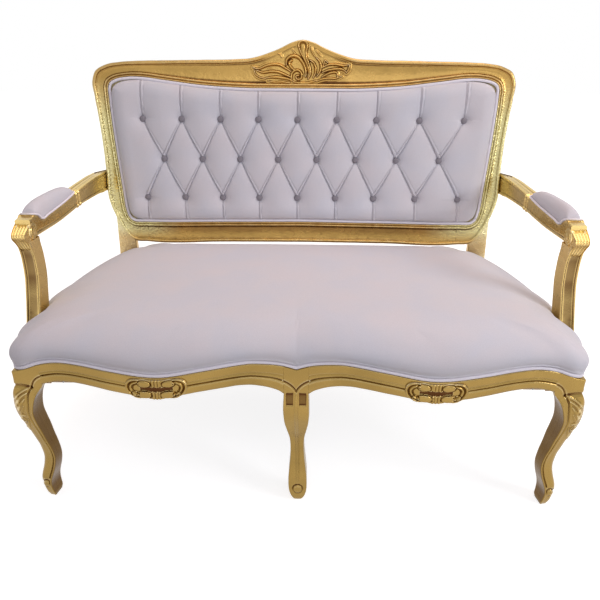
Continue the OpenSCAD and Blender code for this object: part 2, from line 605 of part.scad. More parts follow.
module arm_support_screws() color("silver") for (side = ["left", "right"]) handed(side)
    at_support_screw() screw(support_screw_l);

// Carving on the crest: a shell knob, nested scrolls and plumes, each a low ridge along a path
// A ridge's points are [across, up, half width] as shares of the crest's half width over the panel
crest_size = 0.1 * half_back;
crest_base = hollow_d;
crest_rise = 14;
crest_mid = panel_h + 0.44 * (crest_s - panel_h);
ridges = [
    [[-0.42, -0.55, 0.08], [-0.62, -0.2, 0.13], [-0.45, 0.2, 0.16], [-0.05, 0.48, 0.18], [0.32, 0.44, 0.15],
        [0.46, 0.2, 0.11], [0.28, 0.06, 0.07]],
    [[0.62, -0.62, 0.06], [0.3, -0.5, 0.12], [0.02, -0.2, 0.16], [-0.12, 0.14, 0.13], [0.04, 0.36, 0.07]],
    [[-0.72, -0.3, 0.12], [-1.05, -0.28, 0.17], [-1.4, -0.42, 0.12], [-1.68, -0.5, 0.04]],
    [[-0.5, -0.62, 0.1], [-0.85, -0.66, 0.13], [-1.15, -0.78, 0.09], [-1.32, -0.84, 0.03]],
    [[-0.7, 0.14, 0.08], [-0.98, 0.1, 0.11], [-1.26, -0.06, 0.08], [-1.45, -0.14, 0.03]],
    [[0.64, 0.02, 0.08], [0.92, 0, 0.14], [1.22, -0.18, 0.1], [1.46, -0.3, 0.03]],
    [[0.66, -0.36, 0.08], [0.94, -0.44, 0.12], [1.2, -0.56, 0.08], [1.36, -0.62, 0.03]]];
ridge_sides = 6;
function ridge_ring(P, i) = let(p = P[i], t = slope(P, i), h = norm([t[0], t[1]]),
    e = [t[1] / h, -t[0] / h], w = p[2] * crest_size, up = crest_rise * min(1, p[2] * 6))
    [for (k = [0:ridge_sides]) let(a = 180 * k / ridge_sides, d = -w * cos(a))
        on_back(p[0] * crest_size + e[0] * d, crest_mid + p[1] * crest_size + e[1] * d,
            crest_base - up * sin(a))];
module ridge(points) let(P = curve(points, 2)) skin([for (i = [0:len(P) - 1]) ridge_ring(P, i)]);
module crest_carving() color(gilt) for (r = ridges) ridge(r);

// Carved cartouche on the outermost swell of each front rail
cartouche_x = (post_in + post_w / 2) / 2;
cartouche_half = 70;
cartouche_rise = 6;
// Rows along it: place, height and thickness as shares of its half length, of the rail and of its rise
cartouche_rows = [[-1, 0.22, 0.3], [-0.93, 0.5, 0.8], [-0.8, 0.74, 1], [-0.62, 0.9, 0.85], [-0.4, 0.8, 0.75],
    [-0.2, 0.94, 0.85], [0, 1, 1], [0.2, 0.94, 0.85], [0.4, 0.8, 0.75], [0.62, 0.9, 0.85], [0.8, 0.74, 1],
    [0.93, 0.5, 0.8], [1, 0.22, 0.3]];
function cartouche_ring(r) = let(x = cartouche_x + r[0] * cartouche_half, f = face_y(x),
    mid = lip_z(x) - rail_h / 2, h = r[1] * (rail_h / 2 - arris), t = r[2] * cartouche_rise)
    [for (p = [[0, -1], [0.6, -0.96], [1, -0.7], [0.55, -0.24], [0.55, 0.24], [1, 0.7], [0.6, 0.96], [0, 1]])
        [x, leg_y + f - p[0] * t, mid + p[1] * h]];
module rail_cartouche(side) color(gilt) handed(side)
    skin([for (r = curve(cartouche_rows, 1)) cartouche_ring(r)]);

// Seat upholstery
// The seat's middle, from which its outline is drawn in
seat_mid_y = 0.504 * seat_d;
pipe_set = 0.35 * overhang;
corner_r = 0.52 * post_w;
corner_x = half_front - corner_r + 0.5 * overhang;
corner_y = corner_r - face_set;
notch_gap = 1.7 * overhang;
foot_in = foot_x - foot_w;
foot_front = support_y - foot_d;
foot_back = support_y + foot_d;
rear_edge = stile_front + stile_d - 0.75 * overhang;
post_gap = 0.5 * overhang;
function side_edge(y) = side_x(max(y, side_from)) - pipe_set;
side_share_list = [0.22, 0.48, 0.74, 0.93];
notch_end = foot_back + 2.3 * notch_gap;
front_share_list = [0, 0.1, 0.2, 0.3, 0.4, 0.5, 0.6, 0.7, 0.8, 0.9, 0.97];
rear_share_list = [0.9, 0.66, 0.33];
// Edge points of the right half as [x, y, x and y of the fair line inside, swell]
seat_half_rows = concat(
    [for (u = front_share_list) let(x = u * post_in) [x, face_y(x), x, face_y(x), 1]],
    [for (a = [-75, -50, -25, 0]) let(x = corner_x + corner_r * cos(a), y = corner_y + corner_r * sin(a))
        [x, y, x, y, 1]],
    [for (y = [0.86 * side_from]) [corner_x + corner_r, y, corner_x + corner_r, y, 1]],
    [for (r = [
        [side_edge(foot_front), foot_front - 2.3 * notch_gap, 1],
        [side_edge(foot_front) - notch_gap, foot_front - 1.3 * notch_gap, 0.6],
        [foot_in + 0.2 * notch_gap, foot_front - 0.86 * notch_gap, 0.3],
        [foot_in - 0.85 * notch_gap, foot_front, 0.2],
        [foot_in - notch_gap, support_y, 0.2],
        [foot_in - 0.85 * notch_gap, foot_back, 0.2],
        [foot_in + 0.2 * notch_gap, foot_back + 0.86 * notch_gap, 0.3],
        [side_edge(foot_back) - notch_gap, foot_back + 1.3 * notch_gap, 0.6],
        [side_edge(notch_end), notch_end, 1]])
        [r[0], r[1], side_edge(r[1]), r[1], r[2]]],
    [for (u = side_share_list) let(y = notch_end + u * (stile_front - notch_end), x = side_edge(y))
        [x, y, x, y, 1]],
    [for (r = [
        [stile_out - pipe_set, stile_front - post_gap, stile_out - 0.2 * stile_w, stile_front - post_gap],
        [stile_out - 0.5 * stile_w, stile_front - post_gap, stile_out - 0.45 * stile_w,
            stile_front + 0.1 * stile_d],
        [stile_in - post_gap, stile_front - post_gap, stile_in + 0.35 * stile_w,
            stile_front + 0.28 * stile_d],
        [stile_in - post_gap, stile_front + 0.4 * stile_d, stile_in + 0.15 * stile_w,
            stile_front + 0.5 * stile_d],
        [stile_in - 1.4 * post_gap, rear_edge, stile_in, stile_front + 0.7 * stile_d]])
        [r[0], r[1], r[2], r[3], 0.2]],
    [for (u = rear_share_list) let(x = u * stile_in) [x, rear_edge, x, rear_edge, 0.2]]);
half_count = len(seat_half_rows);
seat_rows = concat(seat_half_rows, [[0, rear_edge, 0, rear_edge, 0.2]],
    [for (i = [half_count - 1:-1:1]) let(r = seat_half_rows[i]) [-r[0], r[1], -r[2], r[3], r[4]]]);
seat_count = len(seat_rows);
function edge_out(i) = let(a = seat_rows[(i + seat_count - 1) % seat_count],
    b = seat_rows[(i + 1) % seat_count], d = [b[1] - a[1], a[0] - b[0]]) d / norm(d);
function edge_z(r) = r[1] < side_from / 2 && abs(r[0]) < half_front ? lip_z(r[0]) : rail_top;
function edge_point(i, inset, up, swell = 0) = let(r = seat_rows[i], n = edge_out(i),
    d = swell * r[4] - inset) [r[0] + n[0] * d, leg_y + r[1] + n[1] * d, edge_z(r) + up];
function edge_ring(inset, up, swell = 0) = [for (i = [0:seat_count - 1]) edge_point(i, inset, up, swell)];
// Ring drawn in towards the middle, with z a share of the way from the edge to the crown
function crown_ring(scale, share, fair, swell = 0) = [for (i = [0:seat_count - 1])
    let(r = seat_rows[i], n = edge_out(i), x = r[0] + (r[2] - r[0]) * fair + n[0] * swell * r[4],
        y = r[1] + (r[3] - r[1]) * fair + n[1] * swell * r[4], e = edge_z(r))
        [x * scale, leg_y + seat_mid_y + (y - seat_mid_y) * scale, e + (seat_crown - e) * share]];
// Flat ring inside the edge that holds the foam and the webbing
well_x_share = 0.95;
well_front_share = 0.92;
well_rear_share = 0.94;
function well_point(r, less = 0) = let(d = r[1] - seat_mid_y)
    [r[0] * (well_x_share - less), seat_mid_y + d * ((d < 0 ? well_front_share : well_rear_share) - less)];
function well(z, less = 0) = [for (r = seat_rows) let(p = well_point(r, less)) [p[0], leg_y + p[1], z]];
web_t = 1.2;
hessian_t = 0.8;
web_z = rail_top;
hessian_z = web_z + 2 * web_t;
foam_z = hessian_z + hessian_t + soft_gap;
cover_base = rail_top + soft_gap;
pipe_w = 2 * seat_pipe_r + soft_gap;
module seat_cover() color(linen) skin([
    well(foam_z + foam_h + soft_gap), well(cover_base),
    [for (p = edge_ring(lip_w + 6 * soft_gap, 0)) [p[0], p[1], cover_base]],
    edge_ring(lip_w + 2 * soft_gap, soft_gap),
    edge_ring(pipe_w, pipe_w + soft_gap),
    edge_ring(0.3 * seat_pipe_r, 1.15 * pipe_w),
    crown_ring(1, 0.2, 0, overhang),
    crown_ring(1, 0.36, 0.15, overhang),
    crown_ring(0.982, 0.54, 0.5, overhang / 2),
    crown_ring(0.945, 0.7, 0.85),
    crown_ring(0.87, 0.83, 1),
    crown_ring(0.72, 0.93, 1),
    crown_ring(0.48, 0.985, 1),
    crown_ring(0.2, 1, 1)]);
module seat_foam() color("#e8dcb0") translate([0, 0, foam_z]) linear_extrude(foam_h)
    polygon([for (p = well(0, 0.004)) [p[0], p[1]]]);
module seat_hessian() color("#b09a6c") translate([0, 0, hessian_z]) linear_extrude(hessian_t)
    polygon([for (p = well(0, 0.006)) [p[0], p[1]]]);
web_front = rail_back - 0.4 * rail_back;
web_rear = rear_inner + 0.12 * rear_rail_t;
web_count = 7;
web_pitch = 2 * 0.82 * stile_in / (web_count - 1);
module front_to_back_webbing() color("#8d7c58") for (i = [0:web_count - 1])
    translate([(i - (web_count - 1) / 2) * web_pitch - web_w / 2, leg_y + web_front, web_z])
        cube([web_w, web_rear - web_front, web_t]);
cross_shares = [0.12, 0.3, 0.52, 0.74, 0.9];
module side_to_side_webbing() color("#8d7c58") for (u = cross_shares)
    let(y = side_from + u * (side_to - side_from), x = side_in(y) + 0.1 * side_rail_t)
        translate([-x, leg_y + y - web_w / 2, web_z + web_t]) cube([2 * x, web_w, web_t]);
seat_pipe_sides = 6;
module seat_piping() color(linen) tube([for (i = [0:seat_count - 1])
    edge_point(i, seat_pipe_r, seat_pipe_r)], seat_pipe_r, seat_pipe_sides, true);
dust_t = 1;
dust_gap = 0.06 * post_w;
dust_in = 0.3 * side_rail_t;
dust_front = 0.9 * rail_back;
dust_half = [[centre_w / 2 + dust_gap, dust_front], [post_in - dust_gap, dust_front],
    [post_in - dust_gap, side_from + dust_gap], [side_x(side_from) - dust_in, side_from + dust_gap],
    [side_x(seat_mid_y) - dust_in, seat_mid_y], [stile_out - dust_in, side_to - dust_gap],
    [stile_in - dust_gap, side_to - dust_gap], [stile_in - dust_gap, stile_front + stile_d - dust_gap]];
dust_notch = [centre_w / 2 + dust_gap, centre_d - face_set + dust_gap];
module seat_dust_cover() color("#2a2a2c") translate([0, leg_y, underside - dust_t]) linear_extrude(dust_t)
    polygon(concat([dust_notch], dust_half, [for (i = [len(dust_half) - 1:-1:0])
        [-dust_half[i][0], dust_half[i][1]]], [[-dust_notch[0], dust_notch[1]]]));

// Back upholstery, from the outside cover forward to the buttoned face
cover_rear_n = 0.28 * frame_t;
foam_near = cover_rear_n + soft_gap;
foam_far = 0.66 * frame_t;
board_near = foam_far + soft_gap;
board_far = board_near + 4;
washer_t = 1.5;
washer_r = 9;
twine_r = 0.8;
back_pipe_w = 2 * back_pipe_r + 2 * soft_gap;
// The nine columns of buttons as set by hand, in shares of the pitch
column_shares = [-3.97, -3, -2.03, -1.09, -0.12, 0.85, 1.83, 2.89, 3.98];
to_column = [for (i = [0:8]) [column_shares[i] * button_pitch, i - 4]];
from_column = [for (i = [0:8]) [i - 4, column_shares[i] * button_pitch]];
function beyond(x) = let(a = column_shares[0] * button_pitch, b = column_shares[8] * button_pitch)
    x < a ? (x - a) / button_pitch : x > b ? (x - b) / button_pitch : 0;
// Rows of buttons as [row, number of buttons]
button_rows = [[0, 9], [1, 8], [2, 9]];
button_spots = [for (r = button_rows) for (i = [0:r[1] - 1])
    [lookup(i - (r[1] - 1) / 2, from_column), row_base + r[0] * row_pitch]];
// Half width of the opening at a height, and its foot and head at a share of that width
side_rows = [for (i = [5:11]) [rim_half[i][1], rim_half[i][0]]];
function open_x(s) = read(side_rows, s);
foot_rows = [[0, 0], [0.925, 0], [0.965, 0.012], [0.988, 0.045], [1, 0.1]];
head_rows = [[0, 0.93], [0.25, 0.93], [0.36, 0.935], [0.51, 0.948], [0.72, 0.982], [0.828, 0.999],
    [0.9, 0.998], [0.95, 0.986], [0.985, 0.958], [1, 0.92]];
function face_foot(u) = panel_h * read(foot_rows, abs(u));
function face_head(u) = panel_h * read(head_rows, abs(u));
tuft_cells = 6;
// Columns of the face as [x, share of the way on to the edge]: three cells between buttons
column_end = 4;
inner_cols = [for (i = [-column_end * tuft_cells:column_end * tuft_cells])
    [lookup(i / tuft_cells, from_column), 0]];
edge_shares = [0.35, 0.65, 0.88, 1];
first_x = inner_cols[0][0];
last_x = inner_cols[len(inner_cols) - 1][0];
all_cols = concat([for (i = [len(edge_shares) - 1:-1:0]) [first_x, edge_shares[i]]], inner_cols,
    [for (t = edge_shares) [last_x, t]]);
face_half = 0.975 * half_panel;
function col_u(c) = let(u = abs(c[0]) / face_half) u + (1 - u) * c[1];
function col_x(c, s) = c[0] + sign(c[0]) * (open_x(s) - back_pipe_w - abs(c[0])) * c[1];
row_lo = row_base - row_pitch / 4;
row_hi = row_base + 2.25 * row_pitch;
row_count = 10;
face_rows = row_count + 4;
// Height up the lean of row j in the column at share u
function face_s(u, j) = let(lo = face_foot(u) + back_pipe_w, hi = face_head(u) - back_pipe_w)
    j == 0 ? lo : j == 1 ? lo + (max(row_lo, lo) - lo) * 0.45 : j == face_rows ? hi :
    j == face_rows - 1 ? row_hi + (hi - row_hi) * 0.6 : max(lo + (j - 1) * soft_gap,
        min(hi - (face_rows - j) * soft_gap, row_lo + (j - 2) * (row_hi - row_lo) / row_count));
function bump(d, reach) = let(t = min(1, max(0, d / reach))) sqrt(1 - (1 - t) * (1 - t));
edge_reach = 0.36 * row_pitch;
pleat_depth_share = 0.62;
pit_depth_share = 0.3;
pit_reach = 0.2 * button_pitch;
function tuft(x, s) = let(t = min(2 * row_pitch, max(0, s - row_base)),
    c = lookup(x, to_column) + beyond(x), a = c + t / (2 * row_pitch), b = c - t / (2 * row_pitch),
    v = pow(abs(sin(180 * a) * sin(180 * b)), 0.35),
    k = min(1, max(0, (4.35 * button_pitch - abs(x)) / (0.3 * button_pitch))))
    1 - pleat_depth_share * k * (1 - v);
function pit(x, s) = let(d = min([for (p = button_spots) norm([x - p[0], s - p[1]])]))
    pit_depth_share * exp(-pow(d / pit_reach, 2));
function face_n(x, s, u) = let(
    d = min((open_x(s) - back_pipe_w - abs(x)), s - face_foot(u) - back_pipe_w,
        face_head(u) - back_pipe_w - s))
    -tuft_rise * (bump(d, edge_reach) * tuft(x, s) - pit(x, s));
function face_point(c, j) = let(u = col_u(c), s = face_s(u, j), x = col_x(c, s)) [x, s, face_n(x, s, u)];
// The face is a skin whose rings run up each column and down again behind
module tufted_back_cover() color(linen) skin([for (c = all_cols) concat(
    [for (j = [0:face_rows]) let(p = face_point(c, j)) on_back(p[0], p[1], p[2])],
    [let(p = face_point(c, face_rows)) on_back(p[0], p[1], cover_rear_n)],
    [let(p = face_point(c, 0)) on_back(p[0], p[1], cover_rear_n)])]);
button_n = tuft_rise * (pit_depth_share - 1 + pleat_depth_share);
module at_buttons(n) leaning() for (p = button_spots) translate([p[0], p[1], -n]) children();
// Covered button: a lens that nests in its pit
button_under = 0.64 * button_r;
button_over = 0.5 * button_r;
module back_buttons() color(linen) at_buttons(button_n - soft_gap) rotate_extrude($fn = 24)
    polygon([[0, 0], [button_r, button_under],
        [0.92 * button_r, button_under + 0.45 * button_over], [0.6 * button_r, button_under + 0.85 * button_over],
        [0, button_under + button_over]]);
module back_foam() color("#e8dcb0") difference() {
    slab(opening(soft_gap), foam_near, foam_far);
    at_buttons(foam_far + over) cylinder(r = twine_r + dowel_gap, h = foam_far + 2 * over, $fn = 16);
}
module back_board() color(beech) difference() {
    slab(opening(soft_gap), board_near, board_far);
    at_buttons(board_far + over) cylinder(r = twine_r + dowel_gap, h = board_far + 2 * over, $fn = 16);
}
module button_twines() color("#d8d0c0") at_buttons(board_far) cylinder(r = twine_r,
    h = board_far - cover_rear_n, $fn = 16);
module twine_washers() color("#3a3a3a") at_buttons(board_far + washer_t) cylinder(r = washer_r, h = washer_t, $fn = 24);
function rim_loop(n, inset) = [for (i = [0:2:rim_end - 2]) let(p = opening(inset)[i]) on_back(p[0], p[1], n)];
back_pipe_sides = 6;
module back_piping() color(linen)
    tube(rim_loop(back_pipe_r / 2, back_pipe_r + soft_gap), back_pipe_r, back_pipe_sides, true);
outside_near = board_far + washer_t + soft_gap;
module outside_back_cover() color(linen) slab(opening(back_pipe_w), outside_near, frame_t);
module outside_back_piping() color(linen)
    tube(rim_loop(frame_t, back_pipe_r + soft_gap), back_pipe_r, back_pipe_sides, true);

// Arm pads
pad_from_share = 0.065;
pad_to_share = 0.495;
pad_half = 0.84 * arm_half;
pad_rows = [[0, 0.8, 0.22], [0.04, 0.93, 0.55], [0.12, 1, 0.82], [0.28, 1.02, 0.97], [0.5, 1.02, 1],
    [0.72, 1, 0.95], [0.88, 0.97, 0.8], [0.96, 0.9, 0.52], [1, 0.76, 0.2]];
pad_shares = [[0.94, 0], [1, 0.14], [1.05, 0.42], [0.92, 0.72], [0.6, 0.92], [0.22, 1]];
pad_section = concat(pad_shares, [for (i = [len(pad_shares) - 1:-1:0]) [-pad_shares[i][0], pad_shares[i][1]]]);
function pad_a(b) = pad_from_share + b * (pad_to_share - pad_from_share);
function pad_ring(r) = let(a = pad_a(r[0]), z = arm_top(a) + soft_gap, h = arm_line(a) + r[2] * pad_h - z)
    [for (p = pad_section) [arm_x(a) + p[0] * r[1] * pad_half, leg_y + arm_y(a), z + p[1] * h]];
module arm_pad(side) color(linen) handed(side) skin([for (r = pad_rows) pad_ring(r)]);
function pad_edge(i, way) = let(r = pad_rows[i], a = pad_a(r[0]), last = len(pad_rows) - 1,
    end = i == 0 ? -1 : i == last ? 1 : 0, out = pad_pipe_r + soft_gap)
    [arm_x(a) + way * (r[1] * pad_half + out), leg_y + arm_y(a) + end * out, arm_top(a) + pad_pipe_r + soft_gap];
pad_pipe_sides = 6;
module arm_pad_piping(side) color(linen) handed(side)
    tube(concat([for (i = [0:len(pad_rows) - 1]) pad_edge(i, 1)],
        [for (i = [len(pad_rows) - 1:-1:0]) pad_edge(i, -1)]), pad_pipe_r, pad_pipe_sides, true);

module left_back_stile() back_stile("left");
module right_back_stile() back_stile("right");
module left_front_rail() front_rail("left");
module right_front_rail() front_rail("right");
module left_side_rail() side_rail("left");
module right_side_rail() side_rail("right");
module left_front_leg() corner_leg("left");
module right_front_leg() corner_leg("right");
module left_arm() arm("left");
module right_arm() arm("right");
module left_arm_support() arm_support("left");
module right_arm_support() arm_support("right");
module left_rail_cartouche() rail_cartouche("left");
module right_rail_cartouche() rail_cartouche("right");
module left_arm_pad() arm_pad("left");
module right_arm_pad() arm_pad("right");
module left_arm_pad_piping() arm_pad_piping("left");
module right_arm_pad_piping() arm_pad_piping("right");

crest_rail();
left_back_stile();
right_back_stile();
lower_back_rail();
left_front_rail();
right_front_rail();
left_side_rail();
right_side_rail();
rear_seat_rail();
left_front_leg();
centre_front_leg();
right_front_leg();
left_arm();
right_arm();
left_arm_support();
right_arm_support();
crest_carving();
left_rail_cartouche();
right_rail_cartouche();
cross_bearer();
corner_braces();
brace_screws();
seat_frame_dowels();
back_frame_dowels();
arm_dowels();
arm_support_screws();
front_to_back_webbing();
side_to_side_webbing();
seat_hessian();
seat_foam();
seat_cover();
seat_piping();
seat_dust_cover();
back_board();
back_foam();
tufted_back_cover();
back_buttons();
button_twines();
twine_washers();
back_piping();
outside_back_cover();
outside_back_piping();
left_arm_pad();
right_arm_pad();
left_arm_pad_piping();
right_arm_pad_piping();
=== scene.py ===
import bpy
import bmesh
import numpy as np
from math import sin, cos, radians, pi
from mathutils import Matrix, noise


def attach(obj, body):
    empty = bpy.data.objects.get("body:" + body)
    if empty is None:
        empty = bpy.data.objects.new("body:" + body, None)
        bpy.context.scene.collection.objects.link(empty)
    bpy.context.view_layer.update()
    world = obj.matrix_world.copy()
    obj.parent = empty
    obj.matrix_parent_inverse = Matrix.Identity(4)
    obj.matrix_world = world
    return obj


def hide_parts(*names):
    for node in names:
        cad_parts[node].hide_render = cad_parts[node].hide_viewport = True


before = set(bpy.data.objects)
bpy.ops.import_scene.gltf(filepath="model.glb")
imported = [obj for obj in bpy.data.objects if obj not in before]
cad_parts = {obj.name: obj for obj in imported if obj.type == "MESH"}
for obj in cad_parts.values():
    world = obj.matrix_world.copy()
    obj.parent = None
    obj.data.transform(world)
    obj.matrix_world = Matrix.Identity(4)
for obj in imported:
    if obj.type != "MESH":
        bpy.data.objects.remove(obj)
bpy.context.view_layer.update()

# Gilt two-seat settee. Lengths are millimetres in the code and metres in the meshes.
mm = 0.001
sofa = {
    "crestTop": 1060, "backWidth": 1200, "frontWidth": 1320, "seatDepth": 575, "lean": 9,
    "railTop": 390, "railHeight": 56, "sideRailHeight": 46, "lipRise": 34, "bow": 26,
    "faceSet": 8, "railBack": 20, "sideRail": 50, "post": 66, "centrePost": 58, "centreDepth": 60,
    "stileWidth": 54, "stileDepth": 36, "footRake": 70, "panelFoot": 560, "sideFace": 45,
    "panelHeight": 407, "lowerRail": 62, "frameDepth": 32, "armHeight": 648, "armHalf": 21,
    "padHeight": 28, "supportBack": 170, "seatCrown": 514, "overhang": 8, "stileShare": 0.9417,
    "stileForward": 13}
lean = radians(sofa["lean"])
crestUp = (sofa["crestTop"] - sofa["panelFoot"]) / cos(lean)
legLine = (sofa["faceSet"] + sofa["bow"] + sofa["overhang"]
           - (sofa["seatDepth"] + crestUp * sin(lean) + sofa["frameDepth"] * cos(lean))) / 2
halfBack = sofa["backWidth"] / 2
halfPanel = halfBack - sofa["sideFace"]
halfFront = sofa["frontWidth"] / 2
postIn = halfFront - sofa["post"]
underside = sofa["railTop"] - sofa["sideRailHeight"]
stileOut = halfBack * sofa["stileShare"]
stileIn = stileOut - sofa["stileWidth"]
stileFront = sofa["seatDepth"] - sofa["stileForward"]


# Curves and skins

def onBack(x, up, behind):  # a point of the leaning back, measured from the foot of its face
    x, up, behind = np.broadcast_arrays(np.asarray(x, float), up, behind)
    return np.stack([x, legLine + sofa["seatDepth"] + up * sin(lean) + behind * cos(lean),
                     sofa["panelFoot"] + up * cos(lean) - behind * sin(lean)], -1)


def readCurve(table, at):  # value of a smooth curve through [place, value] rows
    X, Y = np.array(table, float).T[:2]
    slope = np.zeros(len(X))
    slope[1:-1] = (Y[2:] - Y[:-2]) / (X[2:] - X[:-2])
    at = np.clip(np.asarray(at, float), X[0], X[-1])
    i = np.clip(np.searchsorted(X, at, "right") - 1, 0, len(X) - 2)
    d = X[i + 1] - X[i]
    t = (at - X[i]) / d
    u, v = t * t, t * t * t
    return (Y[i] * (2 * v - 3 * u + 1) + slope[i] * d * (v - 2 * u + t)
            + Y[i + 1] * (3 * u - 2 * v) + slope[i + 1] * d * (v - u))


def smoothPath(points, k, loop=False):  # k points to each span of a smooth curve through points
    P = np.array(points, float)
    flat = P.reshape(len(P), -1)
    if loop:
        flat = np.vstack([flat[-1:], flat, flat[:2]])
    chord = np.linalg.norm(np.diff(flat, axis=0), axis=1)[:, None] + 1e-9
    way = np.diff(flat, axis=0) / chord
    slope = np.vstack([way[:1], (way[:-1] * chord[1:] + way[1:] * chord[:-1])
                       / (chord[:-1] + chord[1:]), way[-1:]])
    out = []
    first, last = (1, len(flat) - 2) if loop else (0, len(flat) - 1)
    for i in range(first, last):
        for t in np.arange(k) / k:
            u, v = t * t, t * t * t
            out.append(flat[i] * (2 * v - 3 * u + 1) + slope[i] * chord[i] * (v - 2 * u + t)
                       + flat[i + 1] * (3 * u - 2 * v) + slope[i + 1] * chord[i] * (v - u))
    if not loop:
        out.append(flat[-1])
    return np.array(out).reshape((-1,) + P.shape[1:])


def ramp(x, start, reach, low=0):  # low before start, 1 past start + reach, straight between
    return np.clip((x - start) / reach, low, 1)


def hump(x, at, wide):  # 1 at a place, dying away on both sides of it
    return np.exp(-((x - at) / wide) ** 2)


def mouldings(x, rows):  # raised and cut lines, each a rise, its place and its width
    return sum(rise * hump(x, at, wide) for rise, at, wide in rows)


def skin(rings, loop=False):  # points and faces of a skin over equal rings, capped unless a loop
    rings = np.asarray(rings, float)
    n, m = rings.shape[:2]
    points = rings.reshape(-1, 3)
    faces = []
    for i in range(n if loop else n - 1):
        a, b = i * m, ((i + 1) % n) * m
        for j in range(m):
            k = (j + 1) % m
            faces.append((a + j, a + k, b + k, b + j))
    if not loop:
        points = np.vstack([points, rings[0].mean(0), rings[-1].mean(0)])
        top = (n - 1) * m
        for j in range(m):
            k = (j + 1) % m
            faces.append((n * m, k, j))
            faces.append((n * m + 1, top + j, top + k))
    return points, faces


def joined(*parts):  # several (points, faces) as one
    points, faces, start = [], [], 0
    for p, f in parts:
        points.append(np.asarray(p).reshape(-1, 3))
        faces += [tuple(i + start for i in face) for face in f]
        start += len(points[-1])
    return np.vstack(points), faces


def mirrored(part):
    points, faces = part
    return np.asarray(points) * [-1, 1, 1], [tuple(reversed(f)) for f in faces]


sides = {"left": mirrored, "right": lambda part: part}


def outward(loops):  # directions square to closed outlines, each in its own plane
    ahead = np.roll(loops, -1, -2) - np.roll(loops, 1, -2)
    out = np.stack([ahead[..., 1], -ahead[..., 0]], -1)
    return out / (np.linalg.norm(out, axis=-1, keepdims=True) + 1e-9)


def turned(flat, angle):  # flat points turned about their origin
    u, v = flat.T
    return np.stack([u * cos(angle) - v * sin(angle), u * sin(angle) + v * cos(angle)], 1)


def roundedRing(corners, radii, count, k=8):  # four corners rounded off, count steps to a side
    ring, corners = [], np.array(corners, float)
    for i in range(4):
        p, a, b = corners[i], corners[i - 1], corners[(i + 1) % 4]
        ua, ub = (a - p) / np.linalg.norm(a - p), (b - p) / np.linalg.norm(b - p)
        for t in np.arange(k + 1) / k:
            ring.append(p + ua * radii[i] * (1 - t) ** 2 + ub * radii[i] * t * t)
        start, end = p + ub * radii[i], b - ub * radii[(i + 1) % 4]
        for t in np.arange(1, count[i]) / count[i]:
            ring.append(start + (end - start) * t)
    return np.array(ring)


def roundedSection(x0, x1, y0, y1, radii, count):
    return roundedRing([(x0, y0), (x1, y0), (x1, y1), (x0, y1)], radii, count)


def tube(path, radius, count=12):  # a round cord along a closed path
    ahead = np.roll(path, -1, 0) - np.roll(path, 1, 0)
    ahead /= np.linalg.norm(ahead, axis=1)[:, None]
    out = np.cross(ahead, np.where(np.abs(ahead[:, 2:3]) > 0.9, [1.0, 0, 0], [0, 0, 1.0]))
    out /= np.linalg.norm(out, axis=1)[:, None]
    over = np.cross(out, ahead)
    turn = np.arange(count) * 2 * pi / count
    return skin(path[:, None] + radius * (out[:, None] * np.sin(turn)[None, :, None]
                                          - over[:, None] * np.cos(turn)[None, :, None]), True)


def segmentDistance(X, Y, lines):  # for each line [[x, y, half width], ...]: distance over width
    near = np.full(X.shape, 9.0)
    for (ax, ay, aw), (bx, by, bw) in zip(lines[:-1], lines[1:]):
        dx, dy = bx - ax, by - ay
        t = np.clip(((X - ax) * dx + (Y - ay) * dy) / (dx * dx + dy * dy + 1e-9), 0, 1)
        d = np.hypot(X - ax - t * dx, Y - ay - t * dy) / (aw + t * (bw - aw))
        near = np.minimum(near, d)
    return near


def ridgeRelief(X, Y, ridges):  # carved relief: the highest of round-backed ridges along paths
    relief = np.zeros(X.shape)
    for rise, points in ridges:
        path = smoothPath(points, 6)
        near = segmentDistance(X, Y, path)
        relief = np.maximum(relief, rise * np.clip(1 - near * near, 0, 1) ** 0.8)
    return relief


# Materials

def linear(code):  # sRGB hex to a linear colour
    c = np.array([int(code[i:i + 2], 16) for i in (1, 3, 5)]) / 255
    return (*np.where(c <= 0.04045, c / 12.92, ((c + 0.055) / 1.055) ** 2.4), 1)


def addNode(tree, kind, values=(), links=(), stops=(), **settings):
    node = tree.nodes.new("ShaderNode" + kind)
    for key, value in settings.items():
        setattr(node, key, value)
    for key, value in dict(values).items():
        node.inputs[key].default_value = value
    for key, output in dict(links).items():
        tree.links.new(output, node.inputs[key])
    for i, (at, code) in enumerate(stops):
        ramp = node.color_ramp.elements
        stop = ramp[i] if i < len(ramp) else ramp.new(at)
        stop.position, stop.color = at, linear(code) if isinstance(code, str) else code
    return node


def newMaterial(name):
    material = bpy.data.materials.new(name)
    material.use_nodes = True
    material.node_tree.nodes.clear()
    return material, material.node_tree


def finishShader(tree, shader):
    addNode(tree, "OutputMaterial", links={"Surface": shader.outputs[0]})


# Carved beech under gesso and bole, covered with beaten gold-coloured leaf: the leaf laps in small
# patches, the hollows keep the brown bole, darkened there further as painted dark reflection, and the
# high edges carry a painted highlight. Each finish is its tone and how much the leaf wrinkles. The
# grain of real gesso is finer than 1.3 mm, and is drawn at that so that it shows.
gilt = {"bole": "#47240f", "paintedHighlight": "#fff3cc", "driftMm": 190, "lapMm": 42, "crinkleMm": 6,
        "grainMm": 1.3, "spread": 0.12}


